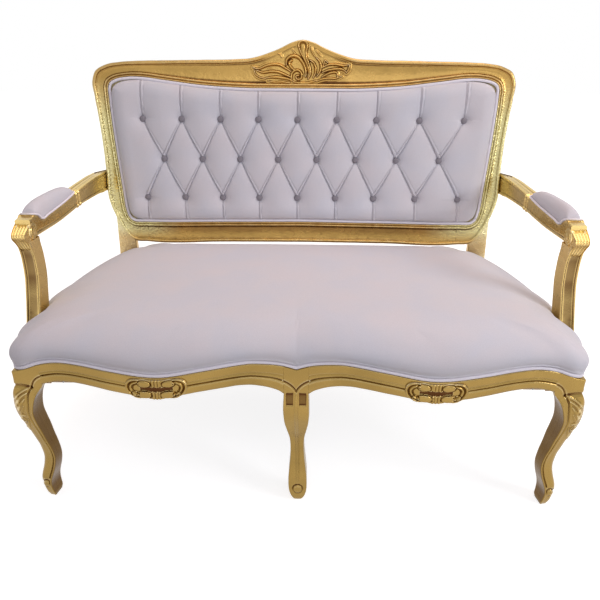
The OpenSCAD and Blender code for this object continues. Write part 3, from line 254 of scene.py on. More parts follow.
def makeGilt(name, tint, crinkle, pale=None):
    tones = [(*(np.array(linear(tint)[:3]) * (1 + k * gilt["spread"])), 1) for k in (-1, 0, 1)]
    material, tree = newMaterial(name)
    place = addNode(tree, "TexCoord").outputs["Object"]
    scales = {"drift": (gilt["driftMm"], 2), "lap": (gilt["lapMm"], 4),
              "fold": (gilt["crinkleMm"], 4), "grain": (gilt["grainMm"], 2)}
    noises = {key: addNode(tree, "TexNoise", {"Scale": 1000 / size, "Detail": detail},
                           {"Vector": place}).outputs["Fac"]
              for key, (size, detail) in scales.items()}
    hollow = addNode(tree, "Attribute", attribute_name="hollow").outputs["Fac"]
    blend = addNode(tree, "Mix", {0: 0.3}, {2: noises["drift"], 3: noises["lap"]})
    tone = addNode(tree, "ValToRGB", links={"Fac": blend.outputs[0]}, stops=[
        (0.36, tones[0]), (0.5, tones[1]), (0.64, tones[2])])
    leaf, links = tone.outputs["Color"], {}
    if pale:  # where the attribute says so the leaf is paler and more crumpled
        share = addNode(tree, "Attribute", attribute_name="pale").outputs["Fac"]
        leaf = addNode(tree, "Mix", {7: linear(pale)}, {0: share, 6: leaf},
                       data_type="RGBA").outputs[2]
        links["Strength"] = addNode(tree, "MapRange", {"To Min": crinkle, "To Max": 1.0},
                                    {"Value": share}).outputs["Result"]
    # bole in the hollows, made darker than bole alone as painted dark reflection
    deep = addNode(tree, "MapRange", {"From Min": 0.08, "From Max": 0.75, "To Max": 0.94},
                   {"Value": hollow})
    boleAndShadeMix = addNode(tree, "Mix", {7: linear(gilt["bole"])},
                      {0: deep.outputs["Result"], 6: leaf}, data_type="RGBA")
    # painted highlight: the high edges are mixed towards a pale cream
    high = addNode(tree, "MapRange", {"From Min": -0.25, "From Max": -1.3, "To Max": 0.5},
                   {"Value": hollow})
    colour = addNode(tree, "Mix", {7: linear(gilt["paintedHighlight"])},
                     {0: high.outputs["Result"], 6: boleAndShadeMix.outputs[2]}, data_type="RGBA")
    rough = addNode(tree, "MapRange", {"From Min": 0.3, "From Max": 0.7, "To Min": 0.22,
                                       "To Max": 0.3}, {"Value": noises["lap"]})
    fine = addNode(tree, "Bump", {"Strength": 0.15, "Distance": 0.0003},
                   {"Height": noises["grain"]})
    bump = addNode(tree, "Bump", {"Strength": crinkle, "Distance": 0.003},
                   {"Height": noises["fold"], "Normal": fine.outputs[0], **links})
    finishShader(tree, addNode(tree, "BsdfPrincipled", {"Metallic": 0.95}, {
        "Base Color": colour.outputs[2], "Roughness": rough.outputs[0],
        "Normal": bump.outputs[0]}))
    return material


# The leaf of the back frame is amber, paler and more crumpled down its sides. On the rails and
# legs it is a darker ochre, on the arms a brighter gold.
giltAmber = makeGilt("giltAmber", "#b38f4f", 0.25, "#c8bd88")
giltOchre = makeGilt("giltOchre", "#9a7f46", 0.12)
giltBright = makeGilt("giltBright", "#dcc07c", 0.12)

# Brushed suede-like polyester cloth: a short nap that lies in soft patches, light where it is
# looked along and matt where it is looked into. Its real fibres are finer than 1.2 mm, and are
# drawn at that so that they show.
suede = {"base": "#d7d5db", "cool": "#d4d4dc", "warm": "#d9d5da", "napMm": 110, "fibreMm": 1.2}


def makeSuede(name, share=0, paintedTone="#ffffff"):  # paintedTone is mixed in by its share: lighter for painted light, darker for painted shade
    material, tree = newMaterial(name)
    place = addNode(tree, "TexCoord").outputs["Object"]
    nap = addNode(tree, "TexNoise", {"Scale": 1000 / suede["napMm"], "Detail": 3},
                  {"Vector": place}).outputs["Fac"]
    fibre = addNode(tree, "TexNoise", {"Scale": 1000 / suede["fibreMm"], "Detail": 2},
                    {"Vector": place}).outputs["Fac"]
    tone = addNode(tree, "ValToRGB", links={"Fac": nap}, stops=[
        (0.35, suede["cool"]), (0.5, suede["base"]), (0.65, suede["warm"])])
    mixed = addNode(tree, "Mix", {0: share, 7: linear(paintedTone)},
                    {6: tone.outputs["Color"]}, data_type="RGBA")
    fleck = addNode(tree, "MapRange", {"From Min": 0.3, "From Max": 0.7, "To Min": 0.95,
                                       "To Max": 1.05}, {"Value": fibre})
    lit = addNode(tree, "HueSaturation", {}, {"Value": fleck.outputs[0],
                                              "Color": mixed.outputs[2]})
    bump = addNode(tree, "Bump", {"Strength": 0.3, "Distance": 0.0004}, {"Height": fibre})
    rough = addNode(tree, "MapRange", {"To Min": 0.82, "To Max": 0.95}, {"Value": nap})
    finishShader(tree, addNode(tree, "BsdfPrincipled", {
        "Sheen Weight": 0.25, "Sheen Roughness": 0.45, "Specular IOR Level": 0.25}, {
        "Base Color": lit.outputs[0], "Roughness": rough.outputs[0],
        "Normal": bump.outputs[0]}))
    return material


suedeCloth = makeSuede("suedeCloth")
litPipingCloth = makeSuede("litPipingCloth", 0.9, "#f3eff6")  # the same cloth cut on the bias round a cord, painted lighter as light falling on the round cord
shadedButtonCloth = makeSuede("shadedButtonCloth", 0.85, "#7b757d")  # offcuts pressed over the moulds, painted darker as shade, since the buttons sit in their pits

# Plain makings, mostly hidden: dark, light, grain in mm and its stretch, roughness and bump. The
# cells of the foam, the strands of the twine and the threads of the cambric are drawn too coarse,
# so that they show.
plainMakings = {
    "sawnBeech": ("#a5835a", "#c9a67a", 3.0, (14, 1, 1), 0.7, 0.2),  # brown flecks along the cut
    "zincSteel": ("#8d9094", "#b4b6b8", 1.5, (1, 1, 1), 0.35, 0.1),  # grey with a dull gleam
    "juteCanvas": ("#7d6a45", "#a38d62", 1.6, (1, 1, 1), 0.95, 0.6),  # a coarse brown weave, no shine
    "cutFoam": ("#d9c98f", "#efe3b4", 2.0, (1, 1, 1), 0.95, 0.5),  # yellowish open cells
    "waxedTwine": ("#b9ae96", "#ded5bf", 1.0, (1, 1, 1), 0.8, 0.4),  # pale twisted strands
    "blackCambric": ("#141416", "#26262a", 1.2, (1, 1, 1), 0.9, 0.4)}  # flat black, hides the inside


def makePlain(name):
    dark, light, grain, stretch, roughness, bumped = plainMakings[name]
    material, tree = newMaterial(name)
    place = addNode(tree, "TexCoord").outputs["Object"]
    spread = addNode(tree, "Mapping", {"Scale": [1000 / (grain * k) for k in stretch]},
                     {"Vector": place})
    fine = addNode(tree, "TexNoise", {"Scale": 1, "Detail": 4},
                   {"Vector": spread.outputs[0]}).outputs["Fac"]
    tone = addNode(tree, "ValToRGB", links={"Fac": fine}, stops=[(0.35, dark), (0.65, light)])
    bump = addNode(tree, "Bump", {"Strength": bumped, "Distance": 0.0004}, {"Height": fine})
    rough = addNode(tree, "MapRange", {"To Min": roughness - 0.1, "To Max": roughness + 0.05},
                    {"Value": fine})
    finishShader(tree, addNode(tree, "BsdfPrincipled", {
        "Metallic": 1.0 if name == "zincSteel" else 0.0}, {
        "Base Color": tone.outputs["Color"], "Roughness": rough.outputs[0],
        "Normal": bump.outputs[0]}))
    return material


plain = {name: makePlain(name) for name in plainMakings}


# Pieces

capEdges = 20  # a point with more edges than this is the middle of a capped end


def meshObject(name, part, crispEnds=False):  # a smooth mesh with its faces turned outwards
    points, faces = part
    mesh = bpy.data.meshes.new(name)
    mesh.from_pydata((np.asarray(points).reshape(-1, 3) * mm).tolist(), [], faces)
    bm = bmesh.new()
    bm.from_mesh(mesh)
    bmesh.ops.recalc_face_normals(bm, faces=bm.faces)
    for face in bm.faces:
        face.smooth = True
    if crispEnds:  # the rims of capped ends stay crisp
        for point in bm.verts:
            for face in point.link_faces if len(point.link_edges) > capEdges else ():
                for edge in face.edges:
                    edge.smooth = point in edge.verts
    bm.to_mesh(mesh)
    bm.free()
    thing = bpy.data.objects.new(name, mesh)
    bpy.context.collection.objects.link(thing)
    return thing


def makePiece(name, part, look, slotName, node):
    piece = meshObject(name, part, slotName == "gilt_wood")
    piece.data.materials.append(look)
    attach(piece, "root")
    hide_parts(node)
    return piece


def meshArrays(mesh):
    co, no = np.empty(len(mesh.vertices) * 3), np.empty(len(mesh.vertices) * 3)
    mesh.vertices.foreach_get("co", co)
    mesh.vertices.foreach_get("normal", no)
    return co.reshape(-1, 3), no.reshape(-1, 3)


def edgeEnds(mesh):
    ends = np.empty(len(mesh.edges) * 2, int)
    mesh.edges.foreach_get("vertices", ends)
    return ends.reshape(-1, 2)


def neighbourMean(mesh, values):
    ends, n = edgeEnds(mesh), len(mesh.vertices)
    inner = np.bincount(ends.ravel(), minlength=n) <= capEdges
    a, b = ends[inner[ends].all(1)].T
    count = np.bincount(a, minlength=n) + np.bincount(b, minlength=n)
    total = [np.bincount(a, values[b, k], n) + np.bincount(b, values[a, k], n)
             for k in range(values.shape[1])]
    return np.where(count[:, None], np.stack(total, 1) / np.maximum(count, 1)[:, None], values)


def markHollows(piece, rounds=5, addedBoleAndShade=None):  # how far each point lies below its surroundings
    mesh = piece.data
    co, no = meshArrays(mesh)
    soft = co.copy()
    for _ in range(rounds):
        soft = (soft + neighbourMean(mesh, soft)) / 2
    depth = ((soft - co) * no).sum(1) / mm
    ends = edgeEnds(mesh)
    centre = np.bincount(ends.ravel(), minlength=len(co)) > capEdges
    atRim = np.zeros(len(co), bool)
    atRim[ends[centre[ends].any(1)]] = True
    for a, b in (ends.T, ends[:, ::-1].T):
        beside = atRim[a] & ~atRim[b]
        depth[a[beside]] = depth[b[beside]]
    # added darkening: bole in the cartouche's slot, painted shade on the inner leg sides and the
    # support coves, and the darker sunk panels of the centre leg
    if addedBoleAndShade:
        depth += addedBoleAndShade(co / mm, no)
    mesh.attributes.new("hollow", "FLOAT", "POINT").data.foreach_set("value", depth)


def handWorn(piece, amount, pitch, seed):  # slight unevenness of hand carving, in millimetres
    mesh = piece.data
    co, no = meshArrays(mesh)
    off = np.array([noise.noise((p[0] / pitch + seed, p[1] / pitch, p[2] / pitch))
                    for p in (co / mm).tolist()])
    co += no * (off * amount * mm)[:, None]
    co[:, 2] = np.maximum(co[:, 2], 0)
    mesh.vertices.foreach_set("co", co.ravel())
    mesh.update()


def blown(rings, hold, pressure, cap, frames=20):  # cloth rings blown out between held points
    cloth = meshObject("cloth", skin(rings))
    group = cloth.vertex_groups.new(name="hold")
    group.add(np.flatnonzero(np.append(hold.ravel(), (1, 0))).tolist(), 1.0, "REPLACE")
    settings = cloth.modifiers.new("cloth", "CLOTH").settings
    settings.quality, settings.mass = 5, 0.3
    settings.tension_stiffness = settings.compression_stiffness = 20
    settings.shear_stiffness, settings.bending_stiffness = 10, 0.8
    settings.use_pressure, settings.uniform_pressure_force = True, pressure
    settings.vertex_group_mass = "hold"
    settings.effector_weights.gravity = 0
    cloth.modifiers["cloth"].point_cache.frame_end = frames
    for number in range(1, frames + 1):
        bpy.context.scene.frame_set(number)
    result = cloth.evaluated_get(bpy.context.evaluated_depsgraph_get()).to_mesh()
    move = meshArrays(result)[0][:rings.shape[0] * rings.shape[1]] / mm - rings.reshape(-1, 3)
    size = np.linalg.norm(move, axis=1)[:, None] + 1e-9
    print("blown out by up to", round(float(size.max()), 2), "mm")
    bpy.data.objects.remove(cloth)
    bpy.context.scene.frame_set(1)
    return rings + (move * np.minimum(1, cap / size)).reshape(rings.shape)


def finer(rings):  # twice as many rings, of twice as many points, on smooth curves
    rings = smoothPath(rings, 2)
    return np.swapaxes(smoothPath(np.swapaxes(rings, 0, 1), 2, loop=True), 0, 1)


# Camera, floor and light

shot = {"place": (0.033, legLine * mm - 1.154, 1.166), "turn": 1.23, "down": 26.83, "roll": 0.17,
        "lens": 36}
camera = bpy.data.cameras.new("camera")
camera.lens, camera.sensor_width = shot["lens"], 36
view = bpy.data.objects.new("camera", camera)
bpy.context.collection.objects.link(view)
view.matrix_world = (Matrix.Translation(shot["place"])
                     @ Matrix.Rotation(radians(shot["turn"]), 4, "Z")
                     @ Matrix.Rotation(radians(90 - shot["down"]), 4, "X")
                     @ Matrix.Rotation(radians(shot["roll"]), 4, "Z"))
bpy.context.scene.camera = view
bpy.context.scene.view_settings.view_transform = "Standard"

studio = {"floorSize": 14, "floorColour": "#c8c8c8", "floorGlow": 0.78,
          "shadeFrom": 0.7, "shadeTo": 2.2, "worldLight": 0.44,
          "sky": [(0.3, "#dfe4ee"), (0.5, "#e9e9ef"), (0.85, "#f6e9e6")],
          "lamps": [("frontLamp", (0.5, -3.2, 2.8), 2.4, 19, "#e2eaff"),
                    ("windowLamp", (-3.0, -0.6, 1.9), 1.6, 3, "#e6eeff"),
                    ("rightLamp", (2.9, -1.5, 1.9), 1.1, 38, "#fafaff"),
                    ("ceilingLamp", (0.4, 0.35, 3.0), 2.0, 26, "#ffe6dc")]}


def seenDirectly(tree):  # 1 for rays from the camera and for what metal or glass shows of it
    path = addNode(tree, "LightPath")
    first = addNode(tree, "Math", links={0: path.outputs["Is Camera Ray"],
                                         1: path.outputs["Is Glossy Ray"]}, operation="MAXIMUM")
    return addNode(tree, "Math", links={0: first.outputs[0],
                                        1: path.outputs["Is Transmission Ray"]},
                   operation="MAXIMUM").outputs[0]


world = bpy.data.worlds.new("studio")
bpy.context.scene.world = world
world.use_nodes = True
tree = world.node_tree
tree.nodes.clear()
height = addNode(tree, "SeparateXYZ", links={0: addNode(tree, "TexCoord").outputs["Generated"]})
upward = addNode(tree, "MapRange", {"From Min": -1.0}, {"Value": height.outputs["Z"]})
sky = addNode(tree, "ValToRGB", links={"Fac": upward.outputs[0]}, stops=studio["sky"])
ambient = addNode(tree, "Background", {"Strength": studio["worldLight"]},
                  {"Color": sky.outputs["Color"]})
white = addNode(tree, "Background", {"Color": (1, 1, 1, 1), "Strength": 1})
both = addNode(tree, "MixShader", links={0: seenDirectly(tree), 1: ambient.outputs[0],
                                         2: white.outputs[0]})
addNode(tree, "OutputWorld", links={"Surface": both.outputs[0]})

floorMaterial, tree = newMaterial("paleFloor")
matt = addNode(tree, "BsdfDiffuse", {"Color": linear(studio["floorColour"])})
glow = addNode(tree, "Emission", {"Color": (1, 1, 1, 1)})
away = addNode(tree, "VectorMath", links={0: addNode(tree, "TexCoord").outputs["Object"]},
               operation="LENGTH")
rise = addNode(tree, "MapRange", {"From Min": studio["shadeFrom"], "From Max": studio["shadeTo"],
                                  "To Min": studio["floorGlow"], "To Max": 1.0},
               {"Value": away.outputs["Value"]})
shown = addNode(tree, "Math", links={0: seenDirectly(tree), 1: rise.outputs[0]},
                operation="MULTIPLY")
tree.links.new(shown.outputs[0], glow.inputs["Strength"])
finishShader(tree, addNode(tree, "AddShader", links={0: matt.outputs[0], 1: glow.outputs[0]}))
half = studio["floorSize"] / 2
floorMesh = bpy.data.meshes.new("floor")
floorMesh.from_pydata([(-half, -half, 0), (half, -half, 0), (half, half, 0), (-half, half, 0)],
                      [], [(0, 1, 2, 3)])
floorMesh.materials.append(floorMaterial)
floor = bpy.data.objects.new("floor", floorMesh)
bpy.context.collection.objects.link(floor)

for name, place, size, power, colour in studio["lamps"]:
    lamp = bpy.data.lights.new(name, "AREA")
    lamp.size, lamp.energy, lamp.color = size, power, linear(colour)[:3]
    holder = bpy.data.objects.new(name, lamp)
    bpy.context.collection.objects.link(holder)
    holder.location = place
    holder.rotation_euler = (-holder.location).to_track_quat("-Z", "Y").to_euler()
print("camera, floor and light are set")

# Back frame: a deep hollow between an outer bead and a double inner bead
rim = {"fine": 20, "coveDeep": 6.6, "crestDeep": 3.4, "crestFade": (70, 150), "crestFrom": 300,
       "shelf": 5, "coveSteps": 9, "calm": (1.2, 0.24, 3), "wear": (0.4, 18, 3),
       "shares": [  # inner edge across and up, outer edge across and up, from foot to crest
           (0, -0.008, 0, -1.07), (0.43, -0.014, 0.4, -1.1), (0.847, -0.019, 0.783, -1.12),
           (0.915, -0.016, 0.858, -1.03), (0.944, 0.014, 0.908, -0.52),
           (0.958, 0.075, 0.943, 0.018), (0.967, 0.2, 0.9733, 0.14), (0.973, 0.3, 0.9733, 0.22),
           (0.979, 0.4, 0.9733, 0.31), (0.989, 0.58, 0.977, 0.45), (0.996, 0.73, 0.987, 0.6),
           (1, 0.86, 0.997, 0.71), (1, 0.93, 1, 0.782), (0.989, 0.963, 0.982, 0.834),
           (0.958, 0.986, 0.937, 0.865), (0.9, 1, 0.872, 0.881), (0.828, 1, 0.783, 0.888),
           (0.72, 0.982, 0.667, 0.891), (0.51, 0.948, 0.472, 0.895), (0.36, 0.935, 0.333, 0.898),
           (0.252, 0.93, 0.233, 0.907), (0.198, 0.93, 0.187, 0.922), (0.11, 0.93, 0.103, 0.958),
           (0.054, 0.93, 0.05, 0.987), (0, 0.93, 0, 1)],
       "inner": [(0, 23), (0, 6), (0.3, 2.8), (1.2, 1), (2.6, 0.4), (4, 1), (5, 2.6), (5.7, 3.4),
                 (6.4, 2.5), (7.4, 0.6), (9, -0.6), (10.7, -0.3), (12.1, 1.3), (13.3, 3.4),
                 (14.6, 5)],
       "outer": [(13.4, 5.3), (12.4, 4), (11.8, 4.4), (11.1, 2.6), (9.6, 0.7), (7.6, -0.7),
                 (5.3, -0.9), (3, -0.1), (1.3, 1.7), (0.3, 4), (0, 7), (0, 15), (0, 23),
                 (0.9, 26.6), (3.2, 30), (7, 32)]}
stile = {"leg": [(0, 0.3, 0.08, 1), (0.06, 0.27, 0.05, 0.9), (0.35, 0.2, 0.04, 0.45),
                 (0.7, 0.07, 0.02, 0.1), (1, 0, 0, 0)],
         "stump": [(-1.26, 0, 0), (-0.7, 0.02, 0.01), (-0.11, 0.1, 0.02), (0.22, 0.42, 0.04)],
         "blockTop": 28, "stumpSet": 9, "round": 4,
         "pale": [(960, 120), (370, 90), (500, 30)]}  # starts below, outside and above, with bands
rimRow = np.array([(a * halfPanel, b * sofa["panelHeight"], c * halfBack,
                    d * (sofa["lowerRail"] if d < 0 else crestUp)) for a, b, c, d in rim["shares"]])
rimWhole = np.vstack([rimRow, rimRow[-2::-1] * [-1, 1, -1, 1]])
rimLine = smoothPath(rimWhole, rim["fine"])


def rimRing(row):
    inner, outer = row[:2], row[2:]
    width = np.linalg.norm(outer - inner)
    way = (outer - inner) / width
    near, far = rim["crestFade"]
    fade = ramp(abs(row[0]), near, far - near) if row[1] > rim["crestFrom"] else 1
    fade = fade * fade * (3 - 2 * fade)
    shelf, deep = rim["shelf"], rim["crestDeep"] + (rim["coveDeep"] - rim["crestDeep"]) * fade
    d = [p[0] for p in rim["inner"]]
    n = [p[1] for p in rim["inner"]]
    a, b = d[-1], width - rim["outer"][0][0]
    for t in np.arange(1, rim["coveSteps"]) / rim["coveSteps"]:
        d.append(a + (b - a) * t)
        n.append(shelf * fade + deep * (1 - fade) + (deep - shelf) * fade * sin(pi * t))
    level, slope, corner = rim["calm"]  # the outer bead dies away towards the crest's middle
    for e, depth in rim["outer"]:
        d.append(width - e)
        calm = level + slope * (e - corner)
        if e < corner:
            calm = max(depth, calm)
        n.append(depth * fade + calm * (1 - fade) if depth < 6 else depth)
    across = inner[0] + way[0] * np.array(d + [0])
    up = inner[1] + way[1] * np.array(d + [0])
    return onBack(across, up, np.array(n + [sofa["frameDepth"]]))


def markPale(piece):  # 1 down the sides of the back frame, 0 over the crest and the lower rail
    co = meshArrays(piece.data)[0] / mm
    (top, topBand), (near, nearBand), (foot, footBand) = stile["pale"]
    down = ramp(co[:, 2], top, -topBand)
    out = ramp(np.abs(co[:, 0]), near, nearBand)
    up = ramp(co[:, 2], foot, footBand)
    piece.data.attributes.new("pale", "FLOAT", "POINT").data.foreach_set("value", down * out * up)


def rimPart(first, last):
    rows = [rimLine[i % (len(rimLine) - 1)] for i in range(first, last + 1)]
    return skin([rimRing(row) for row in rows])


def framePiece(name, part, node):
    piece = makePiece(name, part, giltAmber, "gilt_wood", node)
    handWorn(piece, *rim["wear"])
    markHollows(piece, 3)
    markPale(piece)


def stileLeg():
    w, d = sofa["stileWidth"], sofa["stileDepth"]
    rings = []
    for z, taperIn, taperOut, rake in stile["leg"]:
        x0, x1 = stileIn + taperIn * w, stileOut - taperOut * w
        y0 = legLine + stileFront + rake * sofa["footRake"]
        rings.append([(x0, y0, z * underside), (x1, y0, z * underside),
                      (x1, y0 + d, z * underside), (x0, y0 + d, z * underside)])
    top, y0 = sofa["railTop"] + stile["blockTop"], legLine + stileFront
    rings.append([(stileIn, y0, top), (stileOut, y0, top), (stileOut, y0 + d, top),
                  (stileIn, y0 + d, top)])
    for up, a, b in stile["stump"]:
        x0, x1, h = stileIn + a * w, stileOut + b * w, up * sofa["lowerRail"]
        near, far = stile["stumpSet"], sofa["frameDepth"]
        rings.append([onBack(x0, h, near), onBack(x1, h, near), onBack(x1, h, far),
                      onBack(x0, h, far)])
    lower = smoothPath(np.array(rings[:5]), 8)
    upper = smoothPath(np.array(rings[4:]), 8)[1:]
    radii = [stile["round"]] * 4
    return skin([roundedRing(r, radii, (1, 1, 1, 1), 4) for r in np.vstack([lower, upper])])


lowerJoint, crestJoint = 2 * rim["fine"], 11 * rim["fine"]
framePiece("crestRail", rimPart(crestJoint, len(rimLine) - 1 - crestJoint), "crest_rail")
framePiece("lowerBackRail", rimPart(-lowerJoint, lowerJoint), "lower_back_rail")
for side, turn in sides.items():
    whole = joined(rimPart(lowerJoint, crestJoint), stileLeg())
    framePiece(side + "BackStile", turn(whole), side + "_back_stile")
print("back frame is made")

# Crest carving: a scrolled knob, nested C-scrolls, a spiral and leaf plumes at both sides
crest = {
    "pitch": 1.0, "base": 5.2, "bed": (4.2, 2), "reach": 7, "broad": 1.25,
    "from": (-150, 388), "to": (142, 505),
    "ridges": [  # rise, then points across, up and half width
        (9, [(-11, 486, 2.5), (-11.5, 494, 3), (-5, 501, 3.2), (4, 502, 3.2), (11, 497, 3.4),
             (12.5, 487, 3.4), (9.5, 475, 3), (10, 462, 3), (16, 447, 3), (21.5, 430, 3),
             (21, 414, 2.6), (15, 404, 1.6)]),
        (7, [(-11, 486, 2), (-6, 474, 2.4), (2, 460, 2.6), (12, 442, 2.6), (18, 426, 2.4),
             (16, 408, 1.5)]),
        (5, [(0, 490, 8), (2, 474, 6), (8, 455, 6), (14, 438, 5), (18, 420, 3)]),
        (9, [(-46, 440, 2), (-45, 453, 3.4), (-36, 461.5, 4), (-23.5, 464, 4.2), (-11.5, 460, 4.2),
             (-3, 451.5, 4), (5, 438, 3.6), (9, 424, 3), (8.5, 409, 1.8)]),
        (7, [(-32, 452, 3.6), (-37, 446, 4), (-35, 438, 3.6), (-29, 431, 3), (-22, 426, 2)]),
        (8, [(-31.5, 405, 3), (-31, 416, 3.2), (-24.5, 424, 3.4), (-14.8, 427, 3.4),
             (-5.5, 422, 3.4), (-2, 414, 3.2), (-5, 405, 3), (-12.5, 402, 2.6), (-18.6, 406, 2.4),
             (-17.5, 412, 2.4), (-12, 412.5, 3.4)]),
        (8, [(20, 453, 1.6), (30.5, 446.5, 2.8), (36.3, 434, 3.2), (36, 420, 2.8), (30, 407, 1.6)]),
        (8, [(38, 459, 1.6), (47.6, 449.6, 2.8), (51.7, 437.6, 3.2), (49.3, 423.6, 2.8),
             (40, 410, 1.6)]),
        (6, [(71, 446, 1.4), (62.5, 452, 2), (59.7, 444, 2.2), (55, 433, 1.8)]),
        (7, [(-141, 433, 1), (-124.6, 429.6, 2.2), (-105, 437, 3), (-83.6, 441.6, 3.2),
             (-64, 440, 3.2), (-49, 432.5, 3), (-33, 423, 2)]),
        (7, [(-130, 426, 1.2), (-111.8, 420.3, 3), (-90, 423, 3.4), (-68.6, 421.6, 3.4),
             (-51.4, 415.6, 3.2), (-33, 408, 2)]),
        (5.5, [(-136.5, 426, 1.4), (-133.5, 416.6, 2), (-122.8, 408.6, 2.2), (-104, 404, 1.6)]),
        (6, [(-104, 406, 1.6), (-79.5, 408, 3.4), (-55.7, 406, 3.6), (-38.4, 402.5, 3),
             (-27, 397.5, 2)]),
        (4.5, [(-98, 397.5, 1.4), (-79.6, 394.8, 2.4), (-55.8, 395.4, 2.4), (-35, 392.6, 1.8)]),
        (7, [(56, 434, 2), (71, 440.7, 2.8), (92, 442, 3), (114, 439, 3), (131, 441.4, 1.4)]),
        (8, [(131.5, 442, 1.6), (129, 431, 3), (122.5, 420, 1.4)]),
        (7, [(55, 420.6, 2), (71, 426.7, 3), (92.6, 430, 3.2), (112, 429, 3), (122.8, 421.9, 1.6)]),
        (6.5, [(54, 408.5, 2), (67, 416, 3), (82, 421, 3.2), (95.4, 420.4, 2.8), (98.5, 408, 1.4)]),
        (5, [(39.4, 397.5, 2), (56.6, 404, 2.8), (73.8, 406, 3), (93, 405.4, 2.6),
             (110, 411, 1.2)]),
        (5, [(-25.5, 395.5, 1.8), (-8, 393.2, 3), (9, 392.6, 3.2), (24, 395.4, 3),
             (39, 400, 1.8)]),
        (3, [(-70, 469, 1.2), (-62, 467, 2.4), (-59.5, 460, 1.4)]),
        (3.5, [(-27.8, 479, 1.2), (-21, 469, 2.4), (-17, 462, 1)]),
        (3, [(23, 488, 1.4), (24, 480, 2), (30, 468, 2), (36, 460, 1.2)]),
        (3, [(38, 476, 1.2), (45, 470, 2.2), (49.5, 463, 1)])]}


def patch(front, back, keep):  # a closed carving: its face, its flat back and the rim between
    n, m = keep.shape
    inside = keep[:-1, :-1] & keep[1:, :-1] & keep[1:, 1:] & keep[:-1, 1:]
    number = np.arange(n * m).reshape(n, m)
    faces = []
    for i, j in np.argwhere(inside).tolist():
        a, b, c, d = number[i, j], number[i + 1, j], number[i + 1, j + 1], number[i, j + 1]
        faces += [(a, b, c, d), (a + n * m, d + n * m, c + n * m, b + n * m)]
        for x, y, p, q in ((i, j - 1, a, b), (i + 1, j, b, c), (i, j + 1, c, d),
                           (i - 1, j, d, a)):
            if not (0 <= x < n - 1 and 0 <= y < m - 1 and inside[x, y]):
                faces.append((q, p, p + n * m, q + n * m))
    used = sorted({k for f in faces for k in f})
    new = {k: i for i, k in enumerate(used)}
    points = np.vstack([front.reshape(-1, 3), back.reshape(-1, 3)])
    return points[used], [tuple(new[k] for k in f) for f in faces]


def crestCarving():
    (x0, up0), (x1, up1), pitch = crest["from"], crest["to"], crest["pitch"]
    X, U = np.meshgrid(np.arange(x0, x1, pitch), np.arange(up0, up1, pitch), indexing="ij")
    relief = ridgeRelief(X, U, [(rise, [(a, b, w * crest["broad"]) for a, b, w in path])
                                for rise, path in crest["ridges"]])
    reach = ridgeRelief(X, U, [(1, [(a, b, w + crest["reach"]) for a, b, w in path])
                               for rise, path in crest["ridges"]])
    thick, sunk = crest["bed"]
    bed = thick * np.clip(reach * 1.4, 0, 1) ** 0.7 - sunk
    return patch(onBack(X, U, crest["base"] - bed - relief),
                 onBack(X, U, crest["base"] + 3), reach > 0.05)


piece = makePiece("crestCarving", crestCarving(), giltAmber, "gilt_wood", "crest_carving")
markHollows(piece, 3)
print("crest carving is made")

# Serpentine front rail, with an incised line over its lower band. Its face is a list of drops
# below the lip and how far back each lies.
frontRail = {"steps": 190, "wear": (0.3, 30, 5),
             "lip": [(0, 0.5), (0.012, 0.575), (0.028, 0.67), (0.05, 0.79), (0.08, 0.89),
                     (0.12, 0.97), (0.171, 1), (0.325, 0.6), (0.479, 0.17), (0.65, 0.48),
                     (0.75, 0.75), (0.829, 0.83), (0.9, 0.6), (0.96, 0.19), (1, 0.03)],
             "drop": [(0, 24), (29, 22), (40, 16), (60, 10), (80, 6), (110, 2.6), (140, 0),
                      (400, 0), (468, -2.4), (516, -3.4), (560, -2.4), (594, 0), (660, 0)],
             "dropShares": [(16, 0), (28, 0.45), (34, 0.55), (48, 1)],
             "face": [(2.4, 0.1), (4, 0), (8, 0), (16, 0), (20, -0.1), (21.2, 0.9), (22.4, 0),
                      (24, -0.7), (26, -1.4), (27, -0.8), (28, 2), (29.4, 5.4), (31, 3.8),
                      (32.6, 0.4), (34, -0.6), (38, -0.9), (46, -0.6), (50, 0.3), (52, 1.2),
                      (53.6, 2.4), (55.2, 4.6), (56, 8)]}


def lipTop(x):
    share = readCurve(frontRail["lip"], np.abs(x) / halfFront)
    return sofa["railTop"] + sofa["lipRise"] * share


def railFace(x):
    wave = np.sin(pi * np.minimum(1, np.abs(x) / (postIn + sofa["post"] / 2)))
    return -(sofa["faceSet"] + sofa["bow"] * wave * wave)


def frontRing(x):
    face, top = float(railFace(x)), float(lipTop(x))
    drop = float(readCurve(frontRail["drop"], abs(x)))
    downBy, shares = np.transpose(frontRail["dropShares"])
    rows = [(face + 10, sofa["railTop"]), (face + 10, top), (face + 3, top), (face + 1, top - 0.6)]
    rows += [(face + n, top - d - drop * np.interp(d, downBy, shares))
             for d, n in frontRail["face"]]
    rows += [(sofa["railBack"], underside + 3), (sofa["railBack"], sofa["railTop"])]
    return [(x, legLine + y, z) for y, z in rows]


for side, turn in sides.items():
    xs = np.linspace(sofa["centrePost"] / 2, postIn, frontRail["steps"])
    piece = makePiece(side + "FrontRail", turn(skin([frontRing(x) for x in xs])), giltOchre,
                      "gilt_wood", side + "_front_rail")
    handWorn(piece, *frontRail["wear"])
    markHollows(piece, 2)

